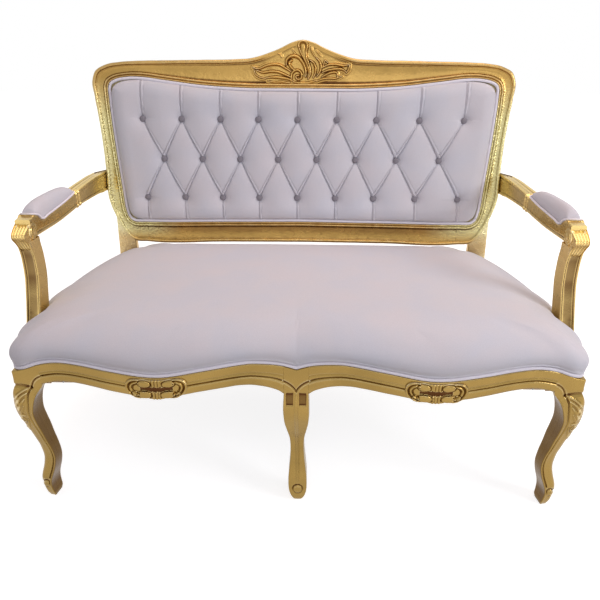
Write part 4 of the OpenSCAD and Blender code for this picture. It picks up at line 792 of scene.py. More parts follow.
# Cartouche on each swell of the rail: nested arcs at its ends, a dark slot and leaf lobes
cartouche = {"x": (postIn + sofa["post"] / 2) / 2 + 4, "half": 72, "straight": 40, "foot": 29.5,
             "head": 25, "rise": 4.4, "round": 4, "pitch": 0.8, "slot": (37, 6.2),
             "slotDeep": 3, "bedDeep": 8, "scallop": (2.6, 44, 52), "flutes": (11, 7, 7.34, 2.6, 1.2),
             "arcs": [(3.4, 2.8), (13, 2.4)], "arcRise": 2.4, "arcCut": (3.4, 5, 1.5),
             "lobeRise": 2.8, "lobeCut": (3.0, 1.08, 0.11),
             "lobes": [(-29, 13.5, 15, 8.5), (27, 13.5, 15, 8.5), (-26, -15.5, 17, 9.5),
                       (28, -15.5, 16, 9.5), (-47, -16, 8, 7), (48, -14, 8, 7)]}


def cartoucheAt(A, B):  # rise of the carving and how far it is inside the outline
    c = cartouche
    far, reach = np.abs(A) - c["straight"], c["half"] - c["straight"]
    end = ramp(far, 0, reach)
    pull = np.sqrt(np.clip(1 - end ** 2.6, 0, 1))
    deep, wide, until = c["scallop"]
    scallop = deep * np.abs(np.sin(pi * (A + wide / 2) / wide)) ** 0.55 * (np.abs(A) < until)
    low, high = -(c["foot"] - 4 + scallop) * pull, c["head"] * pull
    edge = np.minimum(B - low, high - B)
    edge = np.where(far > 0, np.minimum(edge, (reach - far) * 0.9), edge)
    height = c["rise"] * np.sqrt(1 - (1 - ramp(edge, 0, c["round"])) ** 2)
    inwards = reach * (1 - np.hypot(np.clip(far, 0, None) / reach, B / 27))
    cut, behind, narrow = c["arcCut"]
    for at, wide in c["arcs"]:
        height += c["arcRise"] * (far > -2) * hump(inwards, at, wide)
        height -= cut * (far > -2) * hump(inwards - at, behind, narrow)
    cut, around, narrow = c["lobeCut"]
    for x, y, wide, tall in c["lobes"]:
        lobe = np.abs((A - x) / wide) ** 2.2 + np.abs((B - y) / tall) ** 2.2
        height += c["lobeRise"] * np.clip(1 - lobe, 0, 1) ** 0.55
        height -= cut * hump(np.sqrt(lobe), around, narrow)
    half, beyond, pitch, rise, sunk = c["flutes"]
    flute = (np.abs(A) < half) & (np.abs(B) > beyond)
    height += np.where(flute, rise * np.abs(np.sin(pi * (A + half) / pitch)) - sunk, 0)
    return height, edge


def cartoucheSlot(A, B):  # 1 in the dark slot, whose edge is ragged
    long, tall = cartouche["slot"]
    ragged = 0.8 * np.sin(A * 0.5) + 0.6 * np.sin(A * 1.17 + 1)
    return (np.abs(A + 1) < long) & (np.abs(B) < tall + ragged)


def cartoucheCarving():
    c = cartouche
    A, B = np.meshgrid(np.arange(-c["half"] - 1, c["half"] + 1, c["pitch"]),
                       np.arange(-c["foot"] - 3, c["head"] + 1, c["pitch"]), indexing="ij")
    height, edge = cartoucheAt(A, B)
    height = height - c["slotDeep"] * cartoucheSlot(A, B)
    X = c["x"] + A
    face, mid = railFace(X), lipTop(X) - sofa["railHeight"] / 2
    front = np.stack([X, legLine + face - height, mid + B], -1)
    back = np.stack([X, legLine + face + c["bedDeep"], mid + B], -1)
    return patch(front, back, edge > -0.5)


def slotStain(co, no):
    X = np.abs(co[:, 0])
    B = co[:, 2] - lipTop(X) + sofa["railHeight"] / 2
    return 1.6 * cartoucheSlot(X - cartouche["x"], B)


for side, turn in sides.items():
    piece = makePiece(side + "Cartouche", turn(cartoucheCarving()), giltOchre, "gilt_wood",
                      side + "_rail_cartouche")
    markHollows(piece, 5, slotStain)
print("front rail is made")

# Front legs, carved on the outer corner and beaded down the inner edge of the face
legs = {"step": 2.2, "turn": 10, "lift": (322, 60), "toe": (15, 43, 9.5, 11),
        "centreToe": (41, 11.5, 12.5), "panel": (15.2, 328.5, 9.6, 17.5),
        "deep": {"groove": 2.8, "recess": 3.4, "vee": 3, "panel": 2.2}, "edgeBead": (2.6, 1.6, 1.2),
        "toeCut": (3.4, 1.08, 0.17), "centreLines": [(2.4, -0.6, 2.4), (-1.1, 4.2, 1.4),
                                                     (-0.8, -5.4, 1.4)],
        "swell": [(0, 0), (36, 0), (69, 2.5), (102, 2.5), (135, 5), (168, 4.5), (200, 6),
                  (233, 8), (266, 11), (299, 10), (332, 7), (352, 2), (370, 0), (390, 0)],
        "pinch": [(0, 5), (20, 9), (40, 10), (69, 5), (100, 1), (120, 0), (358, 0), (366, -5),
                  (390, -5)],
        "groove": [(-6, 379.2, 1.7), (2, 377.8, 1.7), (8, 374.6, 1.7), (14, 369.4, 1.7),
                   (19.4, 363, 1.7), (24, 354, 1.8), (25.6, 345, 1.8), (22.6, 334, 1.8),
                   (18, 320, 1.8), (13.4, 299, 1.8), (11.5, 275, 1.7), (9.8, 250, 1.7),
                   (7.6, 200, 1.6), (6.2, 150, 1.6), (6, 100, 1.6), (6.6, 62, 1.4)],
        "recess": [(23, 346, 3), (32, 349, 4), (44, 351, 5), (60, 353, 5), (74, 352, 4)],
        "corner": [  # share up, then outwards, wide and deep as shares of the post
            (0, -0.2, 0.4, 0.48), (0.02, -0.16, 0.47, 0.58), (0.05, -0.13, 0.52, 0.64),
            (0.1, -0.105, 0.55, 0.69), (0.155, -0.11, 0.56, 0.68), (0.23, -0.21, 0.54, 0.58),
            (0.31, -0.29, 0.5, 0.51), (0.385, -0.275, 0.48, 0.52), (0.46, -0.21, 0.47, 0.58),
            (0.54, -0.13, 0.5, 0.64), (0.615, -0.04, 0.545, 0.68), (0.69, 0.045, 0.62, 0.7),
            (0.77, 0.09, 0.73, 0.73), (0.83, 0.06, 0.8, 0.78), (0.865, 0.02, 0.92, 0.92),
            (0.88, 0, 1, 1), (0.92, 0, 1, 1), (1, 0, 1, 1)],
        "vee": [(37, 379.5, 1.8), (29, 376, 1.9), (20, 371, 1.9), (11, 363.5, 1.9),
                (4, 355, 1.8), (0, 347, 1.6)],
        "centre": [  # share up, then half width and how far back as shares of the centre post
            (0, 0.16, 0.22), (0.012, 0.36, 0.15), (0.045, 0.6, 0.1), (0.1, 0.78, 0.09),
            (0.185, 0.8, 0.13), (0.25, 0.72, 0.24), (0.34, 0.61, 0.36), (0.43, 0.58, 0.4),
            (0.5, 0.64, 0.34), (0.57, 0.8, 0.18), (0.64, 0.96, 0.02), (0.7, 1.05, -0.1),
            (0.76, 1.08, -0.15), (0.82, 1.05, -0.1), (0.87, 1, -0.02), (0.91, 1, 0), (1, 1, 0)],
        "leaf": [  # carving on the knee: rise, then points across, up and half width
            (2.2, [(29, 348, 2), (37, 343, 4), (44, 333, 4.4), (47, 318, 3)]),
            (2.2, [(27, 334, 2), (33, 327, 4), (40, 314, 4.6), (43, 297, 2.6)]),
            (2.2, [(25, 318, 2), (29, 309, 3.6), (35, 297, 4.4), (39, 280, 2.4)]),
            (2, [(24, 300, 1.6), (26, 289, 3), (31, 277, 3.8), (35, 263, 2)]),
            (2.4, [(22, 268, 2), (28, 270, 3), (34, 263, 3.4), (34, 252, 3), (28, 247, 2.6),
                   (24, 252, 2), (27, 257, 1.6)]),
            (2, [(19, 256, 1.6), (21, 244, 3), (26, 232, 3.6), (30, 219, 2)]),
            (2.4, [(27, 240, 1.6), (31, 230, 3), (32, 214, 1.6)])]}


def column(table, k):
    return [(row[0], row[k]) for row in table]


def pushed(rings, relief):  # rings moved outwards, each in its own plane
    rings = np.array(rings, float)
    rings[..., :2] += outward(rings) * relief[..., None]
    return rings


def lifted(X, Z):  # the head of a leg follows the top line of the rail
    return Z + ramp(Z, *legs["lift"]) * (lipTop(X) - sofa["railTop"] - 0.4)


def headRelief(X, Z, beyond):  # the head of a leg: a rounded top edge, sides sunk in the rail
    d = lipTop(X) - Z
    return -3 * np.clip(1 - d / 1.8, 0, 1) ** 2 - 0.4 * np.clip(beyond + 0.5, 0, 5)


def grooved(across, Z, path, deep):  # a groove and the bead beside it, along a path
    near = segmentDistance(across, Z, smoothPath(path, 6))
    return -deep * hump(near, 0, 1) + 0.25 * deep * hump(near, 2.4, 0.8)


def legLevels():  # heights of a leg's rings, closer together at its top edge
    top = sofa["railTop"]
    return np.append(np.arange(0, top - 3, legs["step"]), top - np.array([2, 1.2, 0.6, 0.2, 0]))


def legRing(flat, z, drift=0):
    return np.column_stack([flat[:, 0] + drift, legLine + flat[:, 1],
                            lifted(flat[:, 0], np.full(len(flat), z))])


def cornerLeg():
    post, z = sofa["post"], legLevels()
    share = z / sofa["railTop"]
    out, wide, deep = (readCurve(column(legs["corner"], k), share) for k in (1, 2, 3))
    x1 = halfFront + out * post
    pinch = readCurve(legs["pinch"], z)
    x0 = x1 - wide * post + pinch
    x1 = x1 + readCurve(legs["swell"], z)
    y0 = -sofa["faceSet"] - out * post - 0.3
    y1 = y0 + deep * post
    rings, across, side = [], [], []
    for i in range(len(z)):
        soft = ramp(z[i], 350, -40, 0.2)
        radii = (3 * ramp(z[i], 352, -20, 0.05), 0.4 * (x1[i] - x0[i]) * soft + 1, 5, 5)
        ring = roundedSection(x0[i], x1[i], y0[i], y1[i], radii, (40, 24, 12, 14))
        across.append(ring[:, 0] - x0[i] + min(0, pinch[i]))
        side.append(ring[:, 1] - y0[i])
        turn = radians(legs["turn"]) * ramp(z[i], 338, -60)
        mid = np.array([(x0[i] + x1[i]) / 2, (y0[i] + y1[i]) / 2])
        rings.append(legRing(turned(ring - mid, turn) + mid, z[i]))
    rings, across, side = np.array(rings), np.array(across), np.array(side)
    width, depth = (x1 - x0)[:, None], (y1 - y0)[:, None]
    Z = rings[..., 2]
    deepBy, (at, broad, high) = legs["deep"], legs["edgeBead"]
    relief = headRelief(rings[..., 0], Z, -across)
    relief = relief + grooved(across, Z, legs["groove"], deepBy["groove"])
    relief += high * hump(across, at, broad) * ramp(Z, 350, -30)
    around = across + np.where(across > width - 1, side, 0)
    near = segmentDistance(around, Z, smoothPath(legs["recess"], 6))
    relief -= deepBy["recess"] * hump(near, 0, 1)
    relief += ridgeRelief(around, Z, legs["leaf"]) * ramp(Z, 190, 20)
    x, up, halfWide, halfTall = legs["toe"]
    toe = np.hypot((across - x) / halfWide, (Z - up) / halfTall)
    turn = np.arctan2(Z - up, across - x)
    scroll = 1 - hump(np.mod(turn + pi * 0.75 + pi, 2 * pi), pi, 0.7)
    relief += 2 * np.sqrt(np.clip(1 - toe ** 2, 0, 1))
    cut, beyond, narrow = legs["toeCut"]
    relief -= cut * hump(toe, beyond, narrow) * scroll
    return skin(pushed(rings, np.where(side < 0.42 * depth, relief, 0)))


def centreLeg():
    half, deep, z = sofa["centrePost"] / 2, sofa["centreDepth"], legLevels()
    share = z / sofa["railTop"]
    wide = readCurve(column(legs["centre"], 1), share) * half + 5 * ramp(z, 338, 8)
    y0 = -sofa["faceSet"] - 0.3 + readCurve(column(legs["centre"], 2), share) * deep
    y1 = np.where(share > 0.85, deep - sofa["faceSet"], y0 + 0.86 * deep)
    rings, across = [], []
    for i in range(len(z)):
        edge = 4 * ramp(z[i], 348, -10, 0.05)
        ring = roundedSection(-wide[i], wide[i], y0[i], y1[i], (edge, edge, 4, 4),
                              (72, 10, 12, 10))
        rings.append(legRing(ring, z[i], 4 * np.clip(1 - z[i] / 300, 0, 1)))
        across.append(ring[:, 0])
    rings, X = np.array(rings), np.array(across)
    Z = rings[..., 2]
    isFront = rings[..., 1] - legLine < (y0 + 5)[:, None]
    body = ramp(Z, 52, 16) * ramp(Z, 344, -8)
    relief = headRelief(rings[..., 0], Z, np.abs(X) - half)
    relief = relief + grooved(np.abs(X), Z, legs["vee"], legs["deep"]["vee"])
    relief += body * (mouldings(X, legs["centreLines"])
                      + 1.2 * hump(np.abs(X) - wide[:, None], -2.4, 1.6))
    relief -= legs["deep"]["panel"] * legPanel(X, Z)
    up, halfWide, halfTall = legs["centreToe"]
    toe = np.hypot(X / halfWide, (Z - up) / halfTall)
    relief += 3 * np.sqrt(np.clip(1 - toe ** 2, 0, 1))
    relief -= (2 + ramp(Z, 36, 8)) * hump(toe, 1.1, 0.15)
    return skin(pushed(rings, np.where(isFront, relief, 0)))


def legPanel(X, Z):  # up to 1 in the two sunk panels at the head of the centre leg
    x, up, halfWide, halfTall = legs["panel"]
    return (ramp(np.abs(np.abs(X) - x), halfWide, -2.4)
            * ramp(np.abs(Z - up), halfTall, -3))


# the two sunk panels at the head of the centre leg are drawn darker
def panelDarkening(co, no):
    isFront = co[:, 1] < legLine + 4
    return 0.55 * legPanel(co[:, 0], co[:, 2]) * isFront


def innerShade(co, no):  # painted shade: the side of a corner leg that faces inwards is darkened, for the dark underside its gold reflects
    inward = -no[:, 0] * np.sign(co[:, 0])
    return 0.55 * ramp(inward, 0.55, 0.3) * ramp(co[:, 2], 345, -20)


for side, turn in sides.items():
    piece = makePiece(side + "FrontLeg", turn(cornerLeg()), giltOchre, "gilt_wood",
                      side + "_front_leg")
    markHollows(piece, 4, innerShade)
piece = makePiece("centreFrontLeg", centreLeg(), giltOchre, "gilt_wood", "centre_front_leg")
markHollows(piece, 4, panelDarkening)
print("front legs are made")

# Side rails, moulded like the front rail
sideRail = {"steps": 120,
            "bulge": [(0, 1), (0.1, 1.1), (0.21, 1.14), (0.48, 0.88), (0.78, 0.45), (1, 0)]}
sideFrom, sideTo = sofa["post"] - sofa["faceSet"], stileFront


def sideFace(y):
    share = (np.asarray(y, float) - sideFrom) / (sideTo - sideFrom)
    return stileOut + (halfFront - stileOut) * readCurve(sideRail["bulge"], share)


def sideInner(y):
    t = (y - sideFrom) / (sideTo - sideFrom)
    return (halfFront - sofa["sideRail"]) * (1 - t) + (stileOut - sofa["stileDepth"]) * t


def sideRing(y):
    x, k = float(sideFace(y)), sofa["sideRailHeight"] / sofa["railHeight"]
    rows = [(x - 2, 0), (x - 0.6, 0.6)] + [(x - n, d * k) for d, n in frontRail["face"]]
    rows += [(sideInner(y), sofa["sideRailHeight"]), (sideInner(y), 0)]
    return [(across, legLine + y, sofa["railTop"] - d) for across, d in rows]


for side, turn in sides.items():
    ys = np.linspace(sideFrom, sideTo, sideRail["steps"])
    piece = makePiece(side + "SideRail", turn(skin([sideRing(y) for y in ys])), giltOchre,
                      "gilt_wood", side + "_side_rail")
    markHollows(piece, 2)
print("side rails are made")

# Arms: a reeded knuckle with side volutes, a body cut down under the pad, and two bead collars
footX = float(sideFace(sofa["supportBack"])) - 0.131 * sofa["post"]
kneeX = footX - 0.25 * sofa["post"]
kneeY = sofa["supportBack"] + 0.11 * sofa["post"]
armSeat = {"x": halfBack * 0.979, "near": 0.18, "far": 0.88, "up": 25}
armSeatUp = (sofa["armHeight"] + armSeat["up"] - sofa["panelFoot"]) / cos(lean)
armEnd = (sofa["seatDepth"] + armSeatUp * sin(lean)
          + (armSeat["near"] + armSeat["far"]) / 2 * sofa["frameDepth"] * cos(lean))
arms = {"height": 50, "wrap": 18, "rows": [  # place, share inwards, half width, foot, top
    (-0.1, 0, 0.72, 0.45, 0.7), (-0.085, 0, 0.8, 0.25, 0.85), (-0.05, 0, 0.84, 0.02, 0.97),
    (0, 0, 0.88, 0, 1), (0.05, 0, 0.92, 0, 1), (0.17, 0.06, 0.96, -0.04, 0.96),
    (0.29, 0.14, 0.98, -0.06, 0.92), (0.43, 0.3, 0.98, 0.04, 0.92), (0.5, 0.4, 0.96, 0.12, 0.93),
    (0.57, 0.48, 0.96, 0.15, 1), (0.7, 0.61, 0.9, 0.12, 1.08), (0.83, 0.69, 0.86, 0.04, 1.1),
    (0.93, 0.74, 0.82, -0.08, 1.06)],
    "wrapShares": [(0.065, 0), (0.117, 1), (0.185, 0.88), (0.28, 0.7), (0.375, 0.48),
                   (0.443, 0.25), (0.478, 0.08), (0.495, 0)],
    "places": [(-0.02, 0.06, 9), (0.065, 0.125, 13), (0.14, 0.48, 30), (0.484, 0.57, 36),
               (0.58, 0.93, 36)],
    "collars": [(2.4, 0.512, 0.006), (2.0, 0.545, 0.006), (-1.4, 0.528, 0.008)],
    "sideLines": [(1.5, 6, 1.8), (-0.9, 10, 1.3)]}


def armX(a):
    return kneeX + (armSeat["x"] - kneeX) * readCurve(column(arms["rows"], 1), a)


def armY(a):
    return kneeY + np.asarray(a) * (armEnd - kneeY)


def armLine(a):
    return sofa["armHeight"] + arms["height"] * readCurve(column(arms["rows"], 4), a)


def armTop(a):
    return armLine(a) - arms["wrap"] * readCurve(arms["wrapShares"], a)


def armBody():
    places = np.concatenate([np.linspace(*span) for span in arms["places"]])
    half = sofa["armHalf"] * readCurve(column(arms["rows"], 2), places)
    foot = sofa["armHeight"] + arms["height"] * readCurve(column(arms["rows"], 3), places)
    rings = []
    for a, w, z0, z1 in zip(places, half, foot, armTop(places) - 0.3):
        flat = roundedSection(-w, w, z0, z1, (5, 5, 5, 5), (12, 16, 16, 16))
        u, v = flat.T
        side, upper = np.abs(u) > w - 1, v > z1 - 1
        relief = side * mouldings(v - z0, arms["sideLines"])
        if a > 0.5:
            relief -= side * hump(v - z1, -8, 1.2)
            relief += upper * (1.4 * hump(np.abs(u), 0.5 * w, 2)
                               - 1.2 * hump(np.abs(u), 0.28 * w, 1.5))
        relief += mouldings(a, arms["collars"])
        u, v = (flat + outward(flat) * relief[:, None]).T
        rings.append(np.column_stack([armX(a) + u, np.full(len(u), legLine + armY(a)), v]))
    last = rings[-1]
    wide = (last[:, 0] - armX(places[-1])) / (half[-1] * 2)
    deep = (armSeat["far"] - armSeat["near"]) * sofa["frameDepth"] * cos(lean)
    rings.append(np.column_stack([np.full(len(last), armSeat["x"] - 3.0),
                                  legLine + armEnd + wide * deep, last[:, 2]]))
    return skin(rings)


knuckle = {"profile": [  # y and z from the pad's collar over the nose and under, half width, reeds
    (205, 699, 19, 0), (200, 699.5, 19, 0), (196, 699, 19, 0), (191, 696.5, 19, 0.2),
    (187, 692.6, 18.6, 0.7), (184.5, 690, 18.6, 0.9), (180, 688.6, 18.8, 1), (170, 685, 18.6, 1),
    (160, 681, 18.2, 1), (150, 676.6, 17.4, 1), (142.5, 673, 16.6, 1), (137.5, 669.6, 16, 1),
    (135.6, 666, 15.7, 1), (136.4, 662.4, 15.6, 1), (140, 658, 15.8, 1), (146, 652, 16.2, 1),
    (151.5, 645, 16.4, 1), (156, 637.5, 15.8, 0.9), (160, 631, 15, 0.7),
    (166, 624, 14.4, 0.4), (176, 616, 13.6, 0)], "inside": [(190, 622), (196, 638), (204, 660)],
    "insideHalf": 13, "reeds": 5, "rise": 2.6, "steps": 71, "block": (14, 12),
    "lines": [(1.6, -0.86, 0.09), (1.4, 0.3, 0.09), (1.4, 0.62, 0.09)]}
volutes = {"radius": 20, "at": (176, 668), "out": 18, "root": 12, "cutAt": 14.6, "cutDeep": 2.8,
           "open": 215, "openHalf": 70}


def armKnuckle():
    rows = smoothPath(knuckle["profile"], 5)
    path = rows[:, :2]
    ahead = np.gradient(path, axis=0)
    out = np.stack([-ahead[:, 1], ahead[:, 0]], 1)
    out /= np.linalg.norm(out, axis=1)[:, None]
    middle, reach = knuckle["block"]  # the plain block at the collar has lines, not reeds
    block = np.clip(1 - np.abs(np.arange(len(rows)) - middle) / reach, 0, 1)
    rings = []
    for s in np.linspace(-1, 1, knuckle["steps"]):
        turn = (s + 1) / 2 * knuckle["reeds"] % 1 * 2 - 1
        reed = knuckle["rise"] * (np.sqrt(max(0, 1 - turn * turn)) - 0.7)
        blockLines = mouldings(s, knuckle["lines"])
        push = reed * rows[:, 3] + blockLines * block * (1 - rows[:, 3])
        edge = 1.4 * ramp(abs(s), 0.94, 0.06) ** 2
        face = path + out * (push - edge)[:, None]
        ring = np.column_stack([kneeX + s * rows[:, 2], legLine + face[:, 0], face[:, 1]])
        inner = [(kneeX + s * knuckle["insideHalf"], legLine + y, z)
                 for y, z in knuckle["inside"]]
        rings.append(np.vstack([ring, inner]))
    return skin(rings)


def volute(way):  # a turned disc on the side of the knuckle with a crescent cut in it
    (y, z), turn = volutes["at"], np.arange(72) * 2 * pi / 72
    opening = cos(radians(volutes["openHalf"])) - np.cos(turn - radians(volutes["open"]))
    crescent = np.clip(opening, 0, 0.3) / 0.3
    rings = []
    for r in np.linspace(0.5, volutes["radius"], 34):
        height = 2.4 * np.sqrt(max(0, 1 - (r / 20.4) ** 6)) - 0.4
        cut = volutes["cutDeep"] * hump(r, volutes["cutAt"], 1.6) * (1 - crescent)
        boss = 1.6 * np.exp(-(r / 6) ** 4)
        rings.append(np.column_stack([kneeX + way * (volutes["out"] + height - cut + boss),
                                      legLine + y + r * np.cos(turn),
                                      z + r * np.sin(turn) * 0.98]))
    rings.append(rings[-1] * [0, 1, 1] + [kneeX + way * volutes["root"], 0, 0])
    return skin(rings)


supports = {"rise": sofa["armHeight"] - sofa["railTop"], "turn": 9, "rows": [
    (0, 0.06, 0, 1.05, 1.33), (0.06, 0.06, 0, 1.05, 1.2), (0.2, 0.02, 0.09, 0.98, 1),
    (0.42, -0.05, 0.23, 0.95, 0.92), (0.62, -0.11, 0.33, 0.95, 0.88),
    (0.82, -0.15, 0.29, 0.94, 0.86), (0.94, -0.17, 0.18, 0.9, 0.93), (1, -0.19, 0.11, 0.9, 1)]}


def armSupport():
    rings = []
    for share, dx, dy, w, d in smoothPath(supports["rows"], 12):
        w, d = w * sofa["armHalf"], d * sofa["armHalf"]
        flat = roundedSection(-w, w, -d, d, (1.5, 1.5, 3, 3), (44, 14, 14, 14))
        u, v = flat.T
        isFront = v < -d + 3
        cove = np.clip(1 - (u / (w - 5.5)) ** 2, 0, 1) ** 0.6
        v = v + isFront * (5 * cove + 2.4 * hump(np.abs(u) - w, -5.4, 1.2)
                           - 1.1 * hump(np.abs(u) - w, -2.4, 1.5))
        u, v = turned(np.stack([u, v], 1), radians(supports["turn"]) * min(1, 4 * share)).T
        x, y = footX + (dx - 0.06) * sofa["post"], sofa["supportBack"] + dy * sofa["post"]
        rings.append(np.column_stack([x + u, legLine + y + v,
                                      np.full(len(u), sofa["railTop"] + share * supports["rise"])]))
    return skin(rings)


def coveShade(co, no):  # painted dark reflection: the hollow front of a support is darkened
    return 0.5 * ramp(-no[:, 1], 0.8, 0.12)


for side, turn in sides.items():
    whole = joined(armBody(), armKnuckle(), volute(-1), volute(1))
    piece = makePiece(side + "Arm", turn(whole), giltBright, "gilt_wood", side + "_arm")
    markHollows(piece, 4)
    piece = makePiece(side + "ArmSupport", turn(armSupport()), giltBright, "gilt_wood",
                      side + "_arm_support")
    # twelve rounds take in the wide cove, which darkens as painted dark reflection
    markHollows(piece, 12, coveShade)
print("arms are made")

# Tight seat: cloth over foam, drawn down to a lip behind the rails. Ring rows are in mm inwards
# and up at its edge, and over its crown a scale, share of the rise, fair share and swell.
seat = {"middle": 0.504, "pipe": 4.5, "pressure": 2.5, "cap": 5, "well": (45.9, 0.3),
        "wellShares": (0.95, 0.92, 0.94), "lip": [(11.8, 0.6), (10.6, 5), (9.6, 9.8)],
        "side": [(3.2, 10.2), (0.6, 11.2)],
        "crown": [(1, 0.15, 0, 0.55), (1, 0.26, 0.04, 1), (0.997, 0.38, 0.2, 1),
                  (0.985, 0.53, 0.48, 0.5), (0.965, 0.63, 0.7, 0.2), (0.935, 0.725, 0.88, 0),
                  (0.87, 0.83, 1, 0), (0.79, 0.9, 1, 0), (0.68, 0.945, 1, 0),
                  (0.52, 0.98, 1, 0), (0.36, 0.994, 1, 0), (0.2, 1, 1, 0),
                  (0.07, 1.002, 1, 0)]}
seatMid = seat["middle"] * sofa["seatDepth"]


def seatEdge():  # edge points of the whole seat: x, y, the fair line inside, swell
    over, post = sofa["overhang"], sofa["post"]
    notch, arm = 1.7 * over, sofa["armHalf"]
    footIn = footX - 1.05 * arm
    front, back = sofa["supportBack"] - 1.33 * arm, sofa["supportBack"] + 1.33 * arm
    radius = 0.52 * post
    cx, cy = halfFront - radius + 0.5 * over, radius - sofa["faceSet"]
    edge = lambda y: float(sideFace(max(y, sideFrom))) - 0.35 * over
    rows = [(u * postIn, float(railFace(u * postIn)), u * postIn, float(railFace(u * postIn)), 1)
            for u in (0, 0.02, 0.05, 0.1, 0.2, 0.3, 0.4, 0.5, 0.6, 0.7, 0.8, 0.9, 0.97)]
    for turn in (-75, -50, -25, 0):
        p = (cx + radius * cos(radians(turn)), cy + radius * sin(radians(turn)))
        rows.append((*p, *p, 1))
    rows.append((cx + radius, 0.86 * sideFrom, cx + radius, 0.86 * sideFrom, 1))
    end = back + 2.3 * notch
    for x, y, swell in ((edge(front), front - 2.3 * notch, 1),
                        (edge(front) - notch, front - 1.3 * notch, 0.6),
                        (footIn + 0.2 * notch, front - 0.86 * notch, 0.3),
                        (footIn - 0.85 * notch, front, 0.2),
                        (footIn - notch, sofa["supportBack"], 0.2),
                        (footIn - 0.85 * notch, back, 0.2),
                        (footIn + 0.2 * notch, back + 0.86 * notch, 0.3),
                        (edge(back) - notch, back + 1.3 * notch, 0.6), (edge(end), end, 1)):
        rows.append((x, y, edge(y), y, swell))
    for u in (0.22, 0.48, 0.74, 0.93):
        y = end + u * (stileFront - end)
        rows.append((edge(y), y, edge(y), y, 1))
    w, d, gap = sofa["stileWidth"], sofa["stileDepth"], 0.5 * over
    rear = stileFront + d - 0.75 * over
    rows += [(stileOut - 0.35 * over, stileFront - gap, stileOut - 0.2 * w, stileFront - gap, 0.2),
             (stileOut - 0.5 * w, stileFront - gap, stileOut - 0.45 * w, stileFront + 0.1 * d, 0.2),
             (stileIn - gap, stileFront - gap, stileIn + 0.35 * w, stileFront + 0.28 * d, 0.2),
             (stileIn - gap, stileFront + 0.4 * d, stileIn + 0.15 * w, stileFront + 0.5 * d, 0.2),
             (stileIn - 1.4 * gap, rear, stileIn, stileFront + 0.7 * d, 0.2)]
    rows += [(u * stileIn, rear, u * stileIn, rear, 0.2) for u in (0.9, 0.66, 0.33, 0)]
    rows = np.array(rows)
    return np.vstack([rows, rows[-2:0:-1] * [-1, 1, -1, 1, 1]])


def edgeTop(x, y):
    onFront = (y < sideFrom / 2) & (np.abs(x) < halfFront)
    return np.where(onFront, lipTop(np.minimum(np.abs(x), halfFront)), sofa["railTop"])


seatLine = smoothPath(seatEdge(), 6, loop=True)
seatOut = outward(seatLine[:, :2])
seatTop = edgeTop(seatLine[:, 0], seatLine[:, 1])


def edgeRing(inset, up):
    p = seatLine[:, :2] - seatOut * inset
    return np.column_stack([p[:, 0], legLine + p[:, 1], seatTop + up])


def crownRing(scale, share, fair, swell):
    p = seatLine[:, :2] + (seatLine[:, 2:4] - seatLine[:, :2]) * fair
    p = p + seatOut * (swell * sofa["overhang"] * seatLine[:, 4])[:, None]
    return np.column_stack([p[:, 0] * scale, legLine + seatMid + (p[:, 1] - seatMid) * scale,
                            seatTop + (sofa["seatCrown"] - seatTop) * share])


def wellRing(up):
    across, front, rear = seat["wellShares"]
    d = seatLine[:, 1] - seatMid
    y = legLine + seatMid + d * np.where(d < 0, front, rear)
    return np.column_stack([seatLine[:, 0] * across, y, np.full(len(d), sofa["railTop"] + up)])


lower = np.array([wellRing(up) for up in seat["well"]] + [edgeRing(*row) for row in seat["lip"]])
upper = smoothPath([edgeRing(*row) for row in seat["side"]]
                   + [crownRing(*row) for row in seat["crown"]], 2)
held = np.zeros(upper.shape[:2])
held[:3] = 1
upper = blown(upper, held, seat["pressure"], seat["cap"])
piece = makePiece("seatCover", skin(np.vstack([finer(lower), finer(upper)])), suedeCloth,
                  "suede_cloth", "seat_cover")
makePiece("seatPiping", tube(edgeRing(seat["pipe"], seat["pipe"]), seat["pipe"]), litPipingCloth,
          "piping_cloth", "seat_piping")
print("seat is made")

# Back: cloth drawn through by covered buttons, its fullness folded into pleats between them
tuft = {"rise": 20, "columnPitch": 116, "slantPitch": 103, "rowPitch": 112, "rowBase": 69,
        "columns": [-3.97, -3, -2.03, -1.09, -0.12, 0.85, 1.83, 2.89, 3.98], "button": 9,
        "pipe": 4, "pleat": 0.38, "pit": 0.66, "edgeReach": 0.36, "grid": (521, 171),
        "turnBack": 9.2, "fold": (3, 9), "foldRise": 3.2, "crease": 4.2,
        "gather": [0.2, 0.9, 1.0, 0.3, 0.5, 0.7, 0.3, 0.2],
        "gatherLines": [(-14, 44), (-3, 52), (9, 40)],
        "buttonRows": [(0.5, 0.1), (0.9, 0.35), (1, 0.55), (0.98, 0.7), (0.88, 0.86), (0.7, 1.0),
                       (0.45, 1.1), (0.15, 1.14)],
        "foot": [(0, -0.008), (0.46, -0.014), (0.925, -0.018), (0.965, -0.004), (0.988, 0.033),
                 (1, 0.092)],
        "head": [(0, 0.93), (0.25, 0.93), (0.36, 0.935), (0.51, 0.948), (0.72, 0.982),
                 (0.828, 0.999), (0.9, 0.998), (0.95, 0.986), (0.985, 0.958), (1, 0.92)]}
backPipe = tuft["pipe"]
coverSet = 2 * backPipe + 0.6
columnPlace = np.array(tuft["columns"]) * tuft["columnPitch"]
openRows = [(b * sofa["panelHeight"], a * halfPanel) for a, b, c, d in rim["shares"][5:12]]
buttonSpots = [(float(np.interp(i - (n - 1) / 2, np.arange(9) - 4, columnPlace)),
                tuft["rowBase"] + row * tuft["rowPitch"])
               for row, n in ((0, 9), (1, 8), (2, 9)) for i in range(n)]


def openHalf(up):
    return readCurve(openRows, up)


